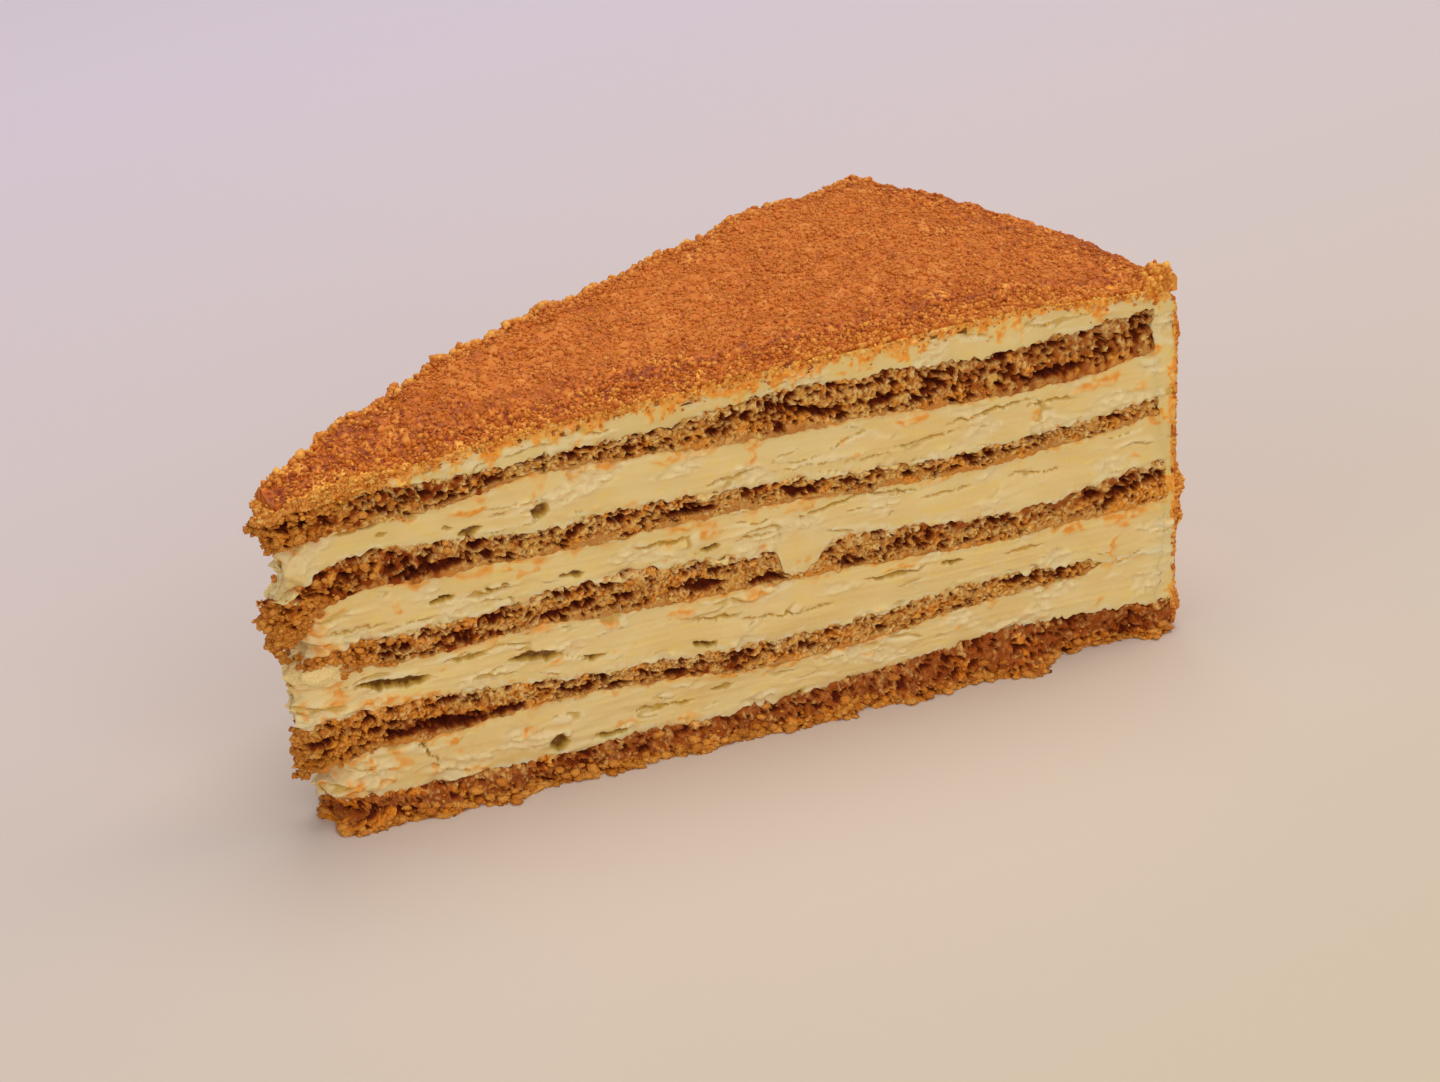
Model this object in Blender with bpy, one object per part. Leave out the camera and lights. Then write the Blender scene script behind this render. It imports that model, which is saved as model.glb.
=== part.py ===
"""A slice of medovik, the layered honey cake, cut from a round cake.

Five honey sponges lie one above the other with a layer of cream between each pair. One coat of
cream runs over the top and down the rim, and a coat of cake crumbs covers that. The two cuts run
from the blunt tip to the rim, and all the layers show there.

Metres, +Z up. +X runs along the middle of the slice, from the tip to the rim, and the slice rests on
the flat underside of the lowest sponge. Points are worked out round the axis of the whole cake, and
each mesh is then moved to the part's own origin, the middle of its box on the ground.
"""

import math
from functools import cache

import bmesh
import bpy
import numpy as np
from mathutils import Matrix, Vector, noise

MM = 0.001

# Driving dimensions
WEDGE_ANGLE = math.radians(28)
CRUMB_TOP = 2.2 * MM
CRUMB_EDGE = 1.1 * MM
CRUMB_EDGE_WIDTH = 2.8 * MM
CRUMB_RIM = 1.3 * MM
GAP = 0.34 * MM
ORIGIN = Vector((68.918 * MM, -0.165 * MM, 0))

# Distances from the cake's axis at which the layers' heights are given
STATIONS = np.array([7, 14, 25, 40, 55, 70, 85, 100, 115, 127]) * MM

# Each sponge: its underside and top at the stations, then its first and last radius. A sponge with no
# last radius reaches the inner wall of the cream coat
SPONGES = (
    {
        "under": (0, 0, 0, 0, 0, 0, 0, 0, 0, 0),
        "top": (3, 3.5, 3.2, 3, 2.9, 3.2, 4.2, 5.1, 5, 4.4),
        "start": 12.8, "end": 129.2,
    },
    {
        "under": (7, 9, 9, 10, 9.6, 8, 8.3, 9.8, 10.7, 10.8),
        "top": (13, 14.5, 14.5, 13.5, 12.2, 11.4, 12, 13.4, 12.7, 12.4),
        "start": 9, "end": 117.6,
    },
    {
        "under": (18, 20, 20.1, 20.5, 19.4, 19.4, 19, 18, 18.1, 18.9),
        "top": (21, 23.5, 23.3, 24.9, 25.3, 23.8, 23.4, 21.8, 22.9, 24.7),
        "start": 11, "end": None,
    },
    {
        "under": (23.5, 29, 29.9, 29.9, 29.9, 29.8, 29, 29.1, 29.7, 30.9),
        "top": (30, 34.5, 35, 33.3, 33.6, 33.1, 32.1, 31.5, 32.2, 33.9),
        "start": 7.3, "end": None,
    },
    {
        "under": (37, 38.3, 38.4, 40.2, 39.9, 39.1, 38.7, 38, 38.6, 40.2),
        "top": (40.6, 42.2, 42.4, 42.9, 43.3, 44.4, 44.7, 44.4, 45.1, 46.2),
        "start": 7.5, "end": None,
    },
)
CREAM_STARTS = (12.4, 9.4, 10.4, 8.7)
COAT_START = 7.2
COAT_TOP = (42.6, 44, 44.7, 45.9, 46.6, 47.5, 48, 48.8, 48.6, 48.2)

# Surfaces are numbered upwards: each sponge's underside and top, then the coat's top
TOP_OF_FIRST = 1
TOP_OF_SPONGES = 2 * len(SPONGES) - 1
TOP_OF_CREAM = 2 * len(SPONGES)

# Outer wall of the cream coat, from the top edge down: radius and height
RIM_WALL = ((126.4, 48.4), (127.9, 46.4), (128.4, 42), (128.5, 33), (128.7, 24), (129, 14), (129.3, 5.3))
# Inner wall of the cream coat, round the ends of the layers, from the top down
LAYER_WALL = ((124.9, 46), (125, 40), (126, 34.5), (126.2, 29), (127.6, 24.4), (127.6, 18.5), (126.8, 5.3))

# Rise of the cake's top towards the back cut
BACK_RISE = 2.4 * MM
BACK_RISE_RADIUS = 40 * MM
BACK_RISE_WIDTH = 24 * MM

# Soft waves of the layers: a long one, and one that grows away from the front cut
LONG_WAVE = {"length": 9 * MM, "turn": 2.1, "height": 0.18 * MM}
SIDE_WAVE = {"length": 17 * MM, "turn": 1.3, "height": 0.7 * MM, "lean": 2.4}
FIRST_SPONGE_WAVES = 0.6
COAT_WAVES = 0.4
COAT_LEVEL = 11

# Seam between two pieces of the third sponge, filled by the cream above it: its steep side, its floor
# and its sloping side
SEAM_RADII = np.array([70.6, 72.2, 74.6, 79.8]) * MM
SEAM_DEPTH = 3.3 * MM

# The knife has dragged the foot of the lowest sponge out, most of all on the front cut
FLARE_RADII = np.array([12.8, 106, 110]) * MM
FRONT_FLARE = np.array([0.6, 2.3, 0.3]) * MM
BACK_FLARE = np.array([0.3, 0.9, 0.9]) * MM

# The crumbs sink towards the rim, away from the front cut
SINK = 1.3 * MM
SINK_RADII = (106 * MM, 127 * MM)
SINK_WIDTH = 4 * MM

# The lattice that every layer shares: along the slice, across it, and up the cuts
LATTICE_START = 6.0 * MM
LATTICE_END = 130.0 * MM
COLUMNS = 40
COLUMN_RADII = np.linspace(LATTICE_START, LATTICE_END, COLUMNS + 1)
COLUMN_STEP = (LATTICE_END - LATTICE_START) / COLUMNS
COLUMN_MARGIN = 0.35 * COLUMN_STEP
ROWS = 3
SPONGE_LEVELS = 2
CREAM_LEVELS = 1

# The lattices of the two coats: along the top, down the rim, and across
COAT_COLUMNS = 34
COAT_DOWN = len(LAYER_WALL) - 1
COAT_ROWS = 6
CRUMB_COLUMNS = 42
CRUMB_DOWN = 14
CRUMB_ROWS = 12
CRUMB_FOOT = 1.6 * MM
CRUMB_START = 6.6 * MM
CRUMB_CORNER = 126.2 * MM
CRUMB_FOOT_RADIUS = 129.6 * MM
SHOULDER_STEPS = 3
SHOULDER_SHARE = 0.8

# Relief of the cut faces and of the crumbs
SPONGE_RELIEF = 0.75 * MM
CREAM_RELIEF = 0.3 * MM
TIP_RELIEF = 1.6 * MM
COAT_TIP_RELIEF = 0.96 * MM
TIP_STRETCH = 1.3
MIDDLE_BULGE = 0.35
END_RELIEF = 0.3
RELIEF_GRAIN = 3.4 * MM
CRUMB_RELIEF = 0.75 * MM
CRUMB_GRAIN = 2.6 * MM
HEAP_GRAIN = 4 * CRUMB_GRAIN
HEAP_SHARE = 0.6
RIM_LUMPS = 0.7
RIM_THINNEST = 0.5 * MM
CRUMB_FRINGE = 0.5 * MM

# The largest crumbs, spread by the golden ratio and kept off the cuts
GOLDEN = (math.sqrt(5) - 1) / 2
SIZE_STEP = 0.61
CUT_MARGIN = 0.04
TOP_CRUMBS = 40
TOP_CRUMB_RADII = (12, 125)
TOP_CRUMB_SIZES = (1.1, 1.45)
TOP_CRUMB_LIFT = 0.35
RIM_CRUMBS = 20
RIM_CRUMB_HEIGHTS = (3.4, 44.4)
RIM_CRUMB_SIZES = (0.8, 1.05)
RIM_CRUMB_OUT = 1.3
CRUMB_SHAPE = ((0.9, 1.25), (0.8, 1.1), (0.7, 1.0))
CORNER_CRUMB = ((124.9, 0.035, 50.65), 2.5)
CRUMB_SEED = 7

# Bits of the lowest sponge along its foot on the front cut: radius and size
FOOT_CRUMBS = (
    (16, 1.3), (25, 1.4), (32.5, 1.8), (47.5, 1.2), (60, 1.3), (72, 1.4), (78.5, 1.5), (88.5, 1.6), (94, 1.3),
    (102.5, 1.4), (106.5, 1.9), (117, 1.3), (126, 1.7),
)
FOOT_CRUMB_OUT = 0.15
BACK_CRUMBS = 8
BACK_CRUMB_SIZES = (1.2, 1.6)
FOOT_SEED = 21
CRUMB_CLEARANCE = 0.7 * MM
SHORTEST_EDGE = 0.02 * MM

SPONGE_COLOUR = (0.36, 0.19, 0.07, 1)
CREAM_COLOUR = (0.86, 0.72, 0.42, 1)
CRUMB_COLOUR = (0.58, 0.23, 0.06, 1)


def smooth_heights(values, radius):
    """Heights at the stations, joined by a smooth curve (Catmull-Rom slopes) and read at radius."""
    heights = np.array(values, float) * MM
    slopes = np.gradient(heights, STATIONS)
    radius = float(np.clip(radius, STATIONS[0], STATIONS[-1]))
    i = min(int(np.searchsorted(STATIONS, radius, side="right")) - 1, len(STATIONS) - 2)
    span = STATIONS[i + 1] - STATIONS[i]
    t = (radius - STATIONS[i]) / span
    return (
        (2 * t**3 - 3 * t**2 + 1) * heights[i]
        + (t**3 - 2 * t**2 + t) * span * slopes[i]
        + (3 * t**2 - 2 * t**3) * heights[i + 1]
        + (t**3 - t**2) * span * slopes[i + 1]
    )


def swell(level, radius, across):
    """Soft rise and fall of a layer's surface, which grows away from the front cut."""
    long_wave = math.sin(radius / LONG_WAVE["length"] + LONG_WAVE["turn"] * level) * LONG_WAVE["height"]
    lean = SIDE_WAVE["turn"] * level + SIDE_WAVE["lean"] * across
    return long_wave + math.sin(radius / SIDE_WAVE["length"] + lean) * SIDE_WAVE["height"] * across


def seam_depth(radius):
    """How far the cream above the third sponge dips into its seam."""
    return SEAM_DEPTH * float(np.interp(radius, SEAM_RADII, (0, 1, 1, 0)))


def foot_flare(radius, across):
    """How far the foot of the lowest sponge stands out from the nearer cut."""
    return float(np.interp(radius, FLARE_RADII, FRONT_FLARE if across < 0.5 else BACK_FLARE))


def close_past_end(under, top, radius, end):
    """Past a sponge's last column its surfaces run together, so that the creams meet there."""
    last_column = LATTICE_START + COLUMN_STEP * math.floor((end - LATTICE_START) / COLUMN_STEP)
    share = min(1.0, max(0.0, (radius - last_column) / COLUMN_STEP))
    middle = (under + top) / 2
    return under + (middle - under) * share, top + (middle - top) * share


@cache
def surface_heights():
    """Heights of the sponges' surfaces and the coat's top over the lattice: [surface][column][row]."""
    table = np.zeros((2 * len(SPONGES) + 1, COLUMNS + 1, ROWS + 1))
    for i, radius in enumerate(COLUMN_RADII):
        for j in range(ROWS + 1):
            across = j / ROWS
            for k, sponge in enumerate(SPONGES):
                under = smooth_heights(sponge["under"], radius)
                top = smooth_heights(sponge["top"], radius)
                if k > 0:
                    under += swell(2 * k, radius, across)
                top += swell(2 * k + 1, radius, across) * (FIRST_SPONGE_WAVES if k == 0 else 1)
                if k == 1:
                    under, top = close_past_end(under, top, radius, sponge["end"] * MM)
                if k == 2:
                    top -= seam_depth(radius)
                table[2 * k, i, j] = under
                table[2 * k + 1, i, j] = top
            table[-1, i, j] = coat_top(radius, across)
    return table


def coat_top(radius, across):
    """Top of the cream coat, which stands higher at the back cut, towards the tip."""
    rise = BACK_RISE * across * math.exp(-(((radius - BACK_RISE_RADIUS) / BACK_RISE_WIDTH) ** 2))
    return smooth_heights(COAT_TOP, radius) + swell(COAT_LEVEL, radius, across) * COAT_WAVES + rise


def height_at(surface, radius, across):
    """A surface's height between the lattice's points, straight from one point to the next."""
    rows = np.linspace(0, 1, ROWS + 1)
    heights = surface_heights()[surface]
    return float(np.interp(across, rows, [np.interp(radius, COLUMN_RADII, row) for row in heights.T]))


def place(radius, across, height, outward=0.0):
    """Point of the slice, round the cake's axis, from its radius, share of the way across and height.

    outward moves it square to the nearer cut, for the relief of the cut faces.
    """
    angle = (across - 0.5) * WEDGE_ANGLE
    side = -1 if across < 0.5 else 1
    square = angle + side * math.pi / 2
    return Vector(
        (
            radius * math.cos(angle) + outward * math.cos(square),
            radius * math.sin(angle) + outward * math.sin(square),
            height,
        )
    )


def box_lattice(columns, rows, levels):
    """A unit cube whose faces are cut into a lattice, with each corner's place on the lattice."""
    mesh = bmesh.new()
    bmesh.ops.create_cube(mesh, size=1, matrix=Matrix.Translation((0.5, 0.5, 0.5)))
    for axis, count in enumerate((columns, rows, levels)):
        normal = Vector([1 if a == axis else 0 for a in range(3)])
        for k in range(1, count):
            bmesh.ops.bisect_plane(
                mesh,
                geom=mesh.verts[:] + mesh.edges[:] + mesh.faces[:],
                dist=1e-6,
                plane_co=normal * (k / count),
                plane_no=normal,
            )
    steps = (columns, rows, levels)
    places = {v: tuple(round(v.co[a] * steps[a]) for a in range(3)) for v in mesh.verts}
    for face in list(mesh.faces):
        first = min(face.verts, key=lambda v: sum(places[v]))
        last = max(face.verts, key=lambda v: sum(places[v]))
        bmesh.utils.face_split(face, first, last)
    return mesh, places


def new_object(mesh, name, colour, collection):
    """Moves a bmesh to the part's origin and turns it into a named object with its own material."""
    bmesh.ops.translate(mesh, vec=-ORIGIN, verts=mesh.verts)
    bmesh.ops.recalc_face_normals(mesh, faces=mesh.faces)
    data = bpy.data.meshes.new(name)
    mesh.to_mesh(data)
    mesh.free()
    material = bpy.data.materials.new(name)
    material.use_nodes = True
    shader = material.node_tree.nodes["Principled BSDF"]
    shader.inputs["Base Color"].default_value = colour
    shader.inputs["Roughness"].default_value = 0.75
    shader.inputs["Metallic"].default_value = 0.0
    material.diffuse_color = colour
    data.materials.append(material)
    obj = bpy.data.objects.new(name, data)
    collection.objects.link(obj)
    return obj


def wall_relief(point, amount, seed):
    """Crags of a cut face: noise at the size of a crumb, the same on every run."""
    return amount * noise.noise(point / RELIEF_GRAIN + Vector((seed, 0, 0)))


def wall_radius(height):
    """Radius of the cream coat's inner wall at a height."""
    heights = [p[1] * MM for p in reversed(LAYER_WALL)]
    return float(np.interp(height, heights, [p[0] * MM for p in reversed(LAYER_WALL)]))


def layer_radii(start, end):
    """Radii of a layer's columns: the shared lattice between its own first and last radius."""
    return [start, *(r for r in COLUMN_RADII if start + COLUMN_MARGIN < r < end - COLUMN_MARGIN), end]


def build_layer(name, under, top, start, end, levels, relief, colour, collection, seed):
    """One flat layer between two of the shared surfaces, with relief on its cuts and its tip."""
    to_wall = end is None
    radii = layer_radii(start * MM, LAYER_WALL[1][0] * MM if to_wall else end * MM)
    mesh, places = box_lattice(len(radii) - 1, ROWS, levels)
    last = len(radii) - 1

    def height_of(radius, across, share):
        low = height_at(under, radius, across) + (0 if under == 0 else GAP / 2)
        high = height_at(top, radius, across) - GAP / 2
        return low + (high - low) * share

    for vertex, (i, j, k) in places.items():
        across, share = j / ROWS, k / levels
        radius = radii[i]
        height = height_of(radius, across, share)
        plain = place(radius, across, height)
        if i == 0:
            radius += wall_relief(plain * TIP_STRETCH, TIP_RELIEF, seed + 5)
        if i == last and to_wall:
            radius = wall_radius(height) - GAP
        outward = 0.0
        if j in (0, ROWS):
            outward = wall_relief(plain, relief, seed) + (MIDDLE_BULGE * relief if 0 < k < levels else 0.0)
            if under == 0:
                outward = outward * share + foot_flare(radius, across) * (1 - share)
        if i == last:
            outward *= END_RELIEF
        vertex.co = place(radius, across, height_of(radius, across, share), outward)
    return new_object(mesh, name, colour, collection)


def along_wall(wall, share):
    """Point of a wall's outline, by its share of the way down."""
    shares = np.linspace(0, 1, len(wall))
    return [float(np.interp(share, shares, [p[a] for p in wall])) * MM for a in (0, 1)]


def coat_inner(i, across):
    """Inner outline of the cream coat: over the top sponge, then down round the layers' ends."""
    if i <= COAT_COLUMNS:
        radius = np.interp(i, (0, COAT_COLUMNS), (COAT_START * MM, LAYER_WALL[0][0] * MM))
        return radius, height_at(TOP_OF_SPONGES, radius, across) + GAP / 2
    first = (LAYER_WALL[0][0], height_at(TOP_OF_SPONGES, LAYER_WALL[0][0] * MM, across) / MM)
    wall = (first, *LAYER_WALL[1:])
    radius, height = along_wall(wall, (i - COAT_COLUMNS) / COAT_DOWN)
    return radius, max(height, height_at(TOP_OF_FIRST, radius, across) + GAP)


def coat_outer(i, across):
    """Outer outline of the cream coat: its top, then its rim, which the crumbs lie on."""
    if i <= COAT_COLUMNS:
        radius = np.interp(i, (0, COAT_COLUMNS), (COAT_START * MM, RIM_WALL[0][0] * MM))
        return radius, height_at(TOP_OF_CREAM, radius, across)
    first = (RIM_WALL[0][0], height_at(TOP_OF_CREAM, RIM_WALL[0][0] * MM, across) / MM)
    radius, height = along_wall((first, *RIM_WALL[1:]), (i - COAT_COLUMNS) / COAT_DOWN)
    return radius, max(height, height_at(TOP_OF_FIRST, radius, across) + GAP)


def build_cream_coat(collection):
    """The coat of cream over the top and down the rim, as far as the lowest sponge."""
    mesh, places = box_lattice(COAT_COLUMNS + COAT_DOWN, COAT_ROWS, 1)
    for vertex, (i, j, k) in places.items():
        across = j / COAT_ROWS
        radius, height = coat_outer(i, across) if k else coat_inner(i, across)
        plain = place(radius, across, height)
        outward = wall_relief(plain, CREAM_RELIEF, 3) if j in (0, COAT_ROWS) else 0.0
        if i == 0:
            radius += wall_relief(plain * TIP_STRETCH, COAT_TIP_RELIEF, 8)
        vertex.co = place(radius, across, height, outward)
    return new_object(mesh, "cream_coat", CREAM_COLOUR, collection)


def crumb_across(j):
    """Share across the slice of a row of the crumb coat, with the rows closer near the cuts."""
    share = j / CRUMB_ROWS
    return 0.5 * share + 0.25 * (1 - math.cos(math.pi * share))


def crumb_inner(i, across):
    """Inner outline of the crumb coat: just clear of the cream coat and the lowest sponge."""
    if i <= CRUMB_COLUMNS:
        radius = np.interp(i, (0, CRUMB_COLUMNS), (CRUMB_START, CRUMB_CORNER))
        return radius, height_at(TOP_OF_CREAM, radius, across) + GAP
    first = (CRUMB_CORNER / MM, height_at(TOP_OF_CREAM, CRUMB_CORNER, across) / MM)
    wall = (first, *RIM_WALL[1:], (CRUMB_FOOT_RADIUS / MM, CRUMB_FOOT / MM))
    radius, height = along_wall(wall, (i - CRUMB_COLUMNS) / CRUMB_DOWN)
    return radius + GAP, height + (GAP if i < CRUMB_COLUMNS + SHOULDER_STEPS else 0)


def crumb_outer(i, across):
    """Outer outline of the crumb coat, before its relief."""
    radius, height = crumb_inner(i, across)
    to_front = across * WEDGE_ANGLE * radius
    to_cut = min(to_front, (1 - across) * WEDGE_ANGLE * radius)
    thickness = CRUMB_EDGE + (CRUMB_TOP - CRUMB_EDGE) * min(1.0, to_cut / CRUMB_EDGE_WIDTH)
    thickness -= SINK * float(np.interp(radius, SINK_RADII, (0, 1))) * min(1.0, to_front / SINK_WIDTH)
    if i <= CRUMB_COLUMNS:
        return radius + (CRUMB_RIM if i == CRUMB_COLUMNS else 0), height + thickness
    fade = min(1.0, (i - CRUMB_COLUMNS) / SHOULDER_STEPS)
    return radius + CRUMB_RIM, height + (1 - fade) * thickness * SHOULDER_SHARE


def crumb_relief(point):
    """Lumps of the crumb coat, in two sizes."""
    lumps = noise.noise(point / CRUMB_GRAIN)
    heaps = noise.noise(point / HEAP_GRAIN + Vector((9, 2, 5)))
    return CRUMB_RELIEF * (lumps + HEAP_SHARE * heaps)


def build_crumb_coat(collection):
    """The coat of crumbs on the cream, with lumps as relief and the largest crumbs fused on."""
    mesh, places = box_lattice(CRUMB_COLUMNS + CRUMB_DOWN, CRUMB_ROWS, 1)
    for vertex, (i, j, k) in places.items():
        across = crumb_across(j)
        inner_radius, inner_height = crumb_inner(i, across)
        radius, height, outward = inner_radius, inner_height, 0.0
        if k:
            radius, height = crumb_outer(i, across)
            lump = crumb_relief(place(radius, across, height))
            if i <= CRUMB_COLUMNS:
                height += lump
            else:
                radius = max(radius + RIM_LUMPS * lump, inner_radius + RIM_THINNEST)
            if j in (0, CRUMB_ROWS):
                outward = CRUMB_FRINGE * noise.noise(Vector((i * 0.7, j, 4.0)))
        vertex.co = place(radius, across, height, outward)
    coat = new_object(mesh, "crumb_coat", CRUMB_COLOUR, collection)
    fuse_crumbs(coat, top_crumbs(TOP_CRUMBS) + rim_crumbs(RIM_CRUMBS) + [CORNER_CRUMB], CRUMB_SEED)
    return coat


def spread_across(number, start=0.0):
    """Share across the slice of one of a row of crumbs, spread by the golden ratio."""
    return CUT_MARGIN + (1 - 2 * CUT_MARGIN) * ((number * GOLDEN + start) % 1)


def crumb_size(number, sizes):
    """Size of one of a row of crumbs, between the smallest and the largest."""
    return float(np.interp((number * SIZE_STEP) % 1, (0, 1), sizes))


def crumb_height(radius, across):
    """Height of the crumb coat's top, away from the cuts and before its relief."""
    sink = SINK * float(np.interp(radius, SINK_RADII, (0, 1)))
    return height_at(TOP_OF_CREAM, radius, across) + CRUMB_TOP - sink


def top_crumbs(count):
    """Radius, share across and height of the largest crumbs of the top, spread evenly by area."""
    inner, outer = TOP_CRUMB_RADII
    crumbs = []
    for k in range(count):
        radius = math.sqrt(inner**2 + (k + 0.5) / count * (outer**2 - inner**2))
        height = crumb_height(radius * MM, spread_across(k)) / MM + TOP_CRUMB_LIFT
        crumbs.append(((radius, spread_across(k), height), crumb_size(k, TOP_CRUMB_SIZES)))
    return crumbs


def rim_crumbs(count):
    """Radius, share across and height of the largest crumbs of the rim, spread evenly."""
    wall = np.array(RIM_WALL[::-1])
    crumbs = []
    for k in range(count):
        height = float(np.interp((k + 0.5) / count, (0, 1), RIM_CRUMB_HEIGHTS))
        size = crumb_size(k, RIM_CRUMB_SIZES)
        radius = float(np.interp(height, wall[:, 1], wall[:, 0])) + GAP / MM + RIM_CRUMB_OUT * size
        crumbs.append(((radius, spread_across(k, 0.3), height), size))
    return crumbs


def fuse_crumbs(body, crumbs, seed):
    """Joins lumpy crumbs to a solid by one Boolean union, applied, and removes the crumbs."""
    group = bpy.data.collections.new(body.name + "_crumbs")
    bpy.context.scene.collection.children.link(group)
    rng = np.random.default_rng(seed)
    for number, ((radius, across, height), size) in enumerate(crumbs):
        mesh = bmesh.new()
        bmesh.ops.create_icosphere(mesh, subdivisions=1, radius=size * MM)
        turn = Matrix.Rotation(rng.uniform(0, math.tau), 4, Vector(rng.normal(size=3)).normalized())
        squeeze = Matrix.Diagonal((*(rng.uniform(*span) for span in CRUMB_SHAPE), 1))
        bmesh.ops.transform(mesh, matrix=turn @ squeeze, verts=mesh.verts)
        spot = place(radius * MM, across, height * MM)
        bmesh.ops.translate(mesh, vec=spot, verts=mesh.verts)
        for vertex in mesh.verts:
            vertex.co.z = max(vertex.co.z, CRUMB_CLEARANCE)
        new_object(mesh, f"{body.name}_crumb_{number}", CRUMB_COLOUR, group)
    union = body.modifiers.new("crumbs", "BOOLEAN")
    union.operation = "UNION"
    union.operand_type = "COLLECTION"
    union.collection = group
    union.solver = "MANIFOLD"
    bpy.context.view_layer.update()
    graph = bpy.context.evaluated_depsgraph_get()
    joined = bpy.data.meshes.new_from_object(body.evaluated_get(graph))
    body.modifiers.clear()
    body.data = joined
    tidy = bmesh.new()
    tidy.from_mesh(joined)
    bmesh.ops.triangulate(tidy, faces=tidy.faces)
    bmesh.ops.dissolve_degenerate(tidy, dist=SHORTEST_EDGE, edges=tidy.edges)
    tidy.to_mesh(joined)
    tidy.free()
    for crumb in list(group.objects):
        bpy.data.objects.remove(crumb)
    bpy.data.collections.remove(group)


def foot_crumbs():
    """Broken bits of the lowest sponge along its foot, where the knife has dragged them out."""
    rng = np.random.default_rng(FOOT_SEED)
    crumbs = []
    for radius, size in FOOT_CRUMBS:
        out = foot_flare(radius * MM, 0) / MM + FOOT_CRUMB_OUT * size
        crumbs.append(((radius, -out / (WEDGE_ANGLE * radius), size), size))
    for k in range(BACK_CRUMBS):
        size = float(rng.uniform(*BACK_CRUMB_SIZES))
        radius = 20.0 + 15 * k
        crumbs.append(((radius, 1.0, size), size))
    return crumbs


def clear_scene():
    """Empties the scene that Blender starts with."""
    for obj in list(bpy.data.objects):
        bpy.data.objects.remove(obj)


def build_cake():
    """Builds the slice, from the lowest sponge to the crumb coat."""
    cake = bpy.data.collections.new("medovik_slice")
    bpy.context.scene.collection.children.link(cake)
    for k, sponge in enumerate(SPONGES):
        body = build_layer(
            f"sponge_{k + 1}", 2 * k, 2 * k + 1, sponge["start"], sponge["end"],
            SPONGE_LEVELS, SPONGE_RELIEF, SPONGE_COLOUR, cake, 11 * k,
        )
        if k == 0:
            fuse_crumbs(body, foot_crumbs(), FOOT_SEED)
    for k, start in enumerate(CREAM_STARTS):
        build_layer(
            f"cream_{k + 1}", 2 * k + 1, 2 * k + 2, start, None,
            CREAM_LEVELS, CREAM_RELIEF, CREAM_COLOUR, cake, 11 * k + 4,
        )
    build_cream_coat(cake)
    build_crumb_coat(cake)


clear_scene()
build_cake()
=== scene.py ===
"""Looks of a slice of medovik: five honey sponges and four fillings, coated with cream and crumbs.

Lengths are in millimetres until a mesh is written. A point of the slice is given by its radius from
the axis of the whole cake, its share of the way across from the front cut to the back cut, and its
height. A spot is such a point as radius, side and height, where the patterns of the cuts are read.
"""

import logging
import math
from dataclasses import dataclass, field, replace
from enum import Enum, IntEnum
from itertools import product

import bpy
import numpy as np
from mathutils import Matrix, Vector


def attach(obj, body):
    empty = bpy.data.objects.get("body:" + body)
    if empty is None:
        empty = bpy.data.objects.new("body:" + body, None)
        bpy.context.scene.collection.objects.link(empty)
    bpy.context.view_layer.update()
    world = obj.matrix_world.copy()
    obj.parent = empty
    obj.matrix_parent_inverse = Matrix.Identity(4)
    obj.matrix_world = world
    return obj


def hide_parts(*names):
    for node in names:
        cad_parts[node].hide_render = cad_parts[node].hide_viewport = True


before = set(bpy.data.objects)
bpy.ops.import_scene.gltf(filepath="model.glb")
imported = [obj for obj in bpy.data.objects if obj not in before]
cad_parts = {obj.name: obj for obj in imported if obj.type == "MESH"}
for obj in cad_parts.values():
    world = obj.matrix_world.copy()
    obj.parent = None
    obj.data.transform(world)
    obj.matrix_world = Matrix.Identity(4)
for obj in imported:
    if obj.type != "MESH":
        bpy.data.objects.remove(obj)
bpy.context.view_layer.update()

MM = 0.001
LOG = logging.getLogger("medovik")

Numbers = np.ndarray
Place = tuple[float, float, float]
Colour = tuple[float, float, float, float]
Outline = tuple[tuple[float, float], ...]
Socket = bpy.types.NodeSocket
Fed = Socket | float | Colour | Place

# Whole numbers that scramble a cell's place and a seed, and how finely a scramble is read
CELL_FACTORS = (374761393, 668265263, 2246822519)
SEED_FACTOR = 3266489917
SCRAMBLES = ((15, 2654435761), (13, 1274126177))
LAST_SHIFT = 16
WORD = 0xFFFFFFFF
AXIS_BITS, AXIS_MASK, OWNERS = 10, 1023, 997
OCTAVE_SEEDS = 31

# Directions that gradient noise chooses from: the middles of a cube's edges
EDGE_DIRECTIONS = np.array(
    [p for p in product((-1, 0, 1), repeat=3) if sum(map(abs, p)) == 2], float
)

# How far inside a cut or the tip its relief has faded out, and how fast its corners round off
FADE = 6.0
ROUND = 0.9

# How much closer together the rows are beside the cuts, and how close to a cut or to the tip
# counts as on it
CLOSENESS = 0.13
ON_CUT = 0.01
ON_TIP = 0.4


class Seed(IntEnum):
    """Seeds of the patterns that aren't one face's own."""

    TIP = 17
    SURFACE = 40
    FINE_SURFACE = 60
    FOOT = 81
    BACK_FOOT = 82
    END = 91
    FINE_END = 92
    SPILL_REACH = 501
    SPILL_STREAKS = 502
    SPILL_SPECKS = 503
    SPILL_LUMPS = 504
    SPILL_TINT = 505
    SPILL_PATCHES = 506


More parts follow.
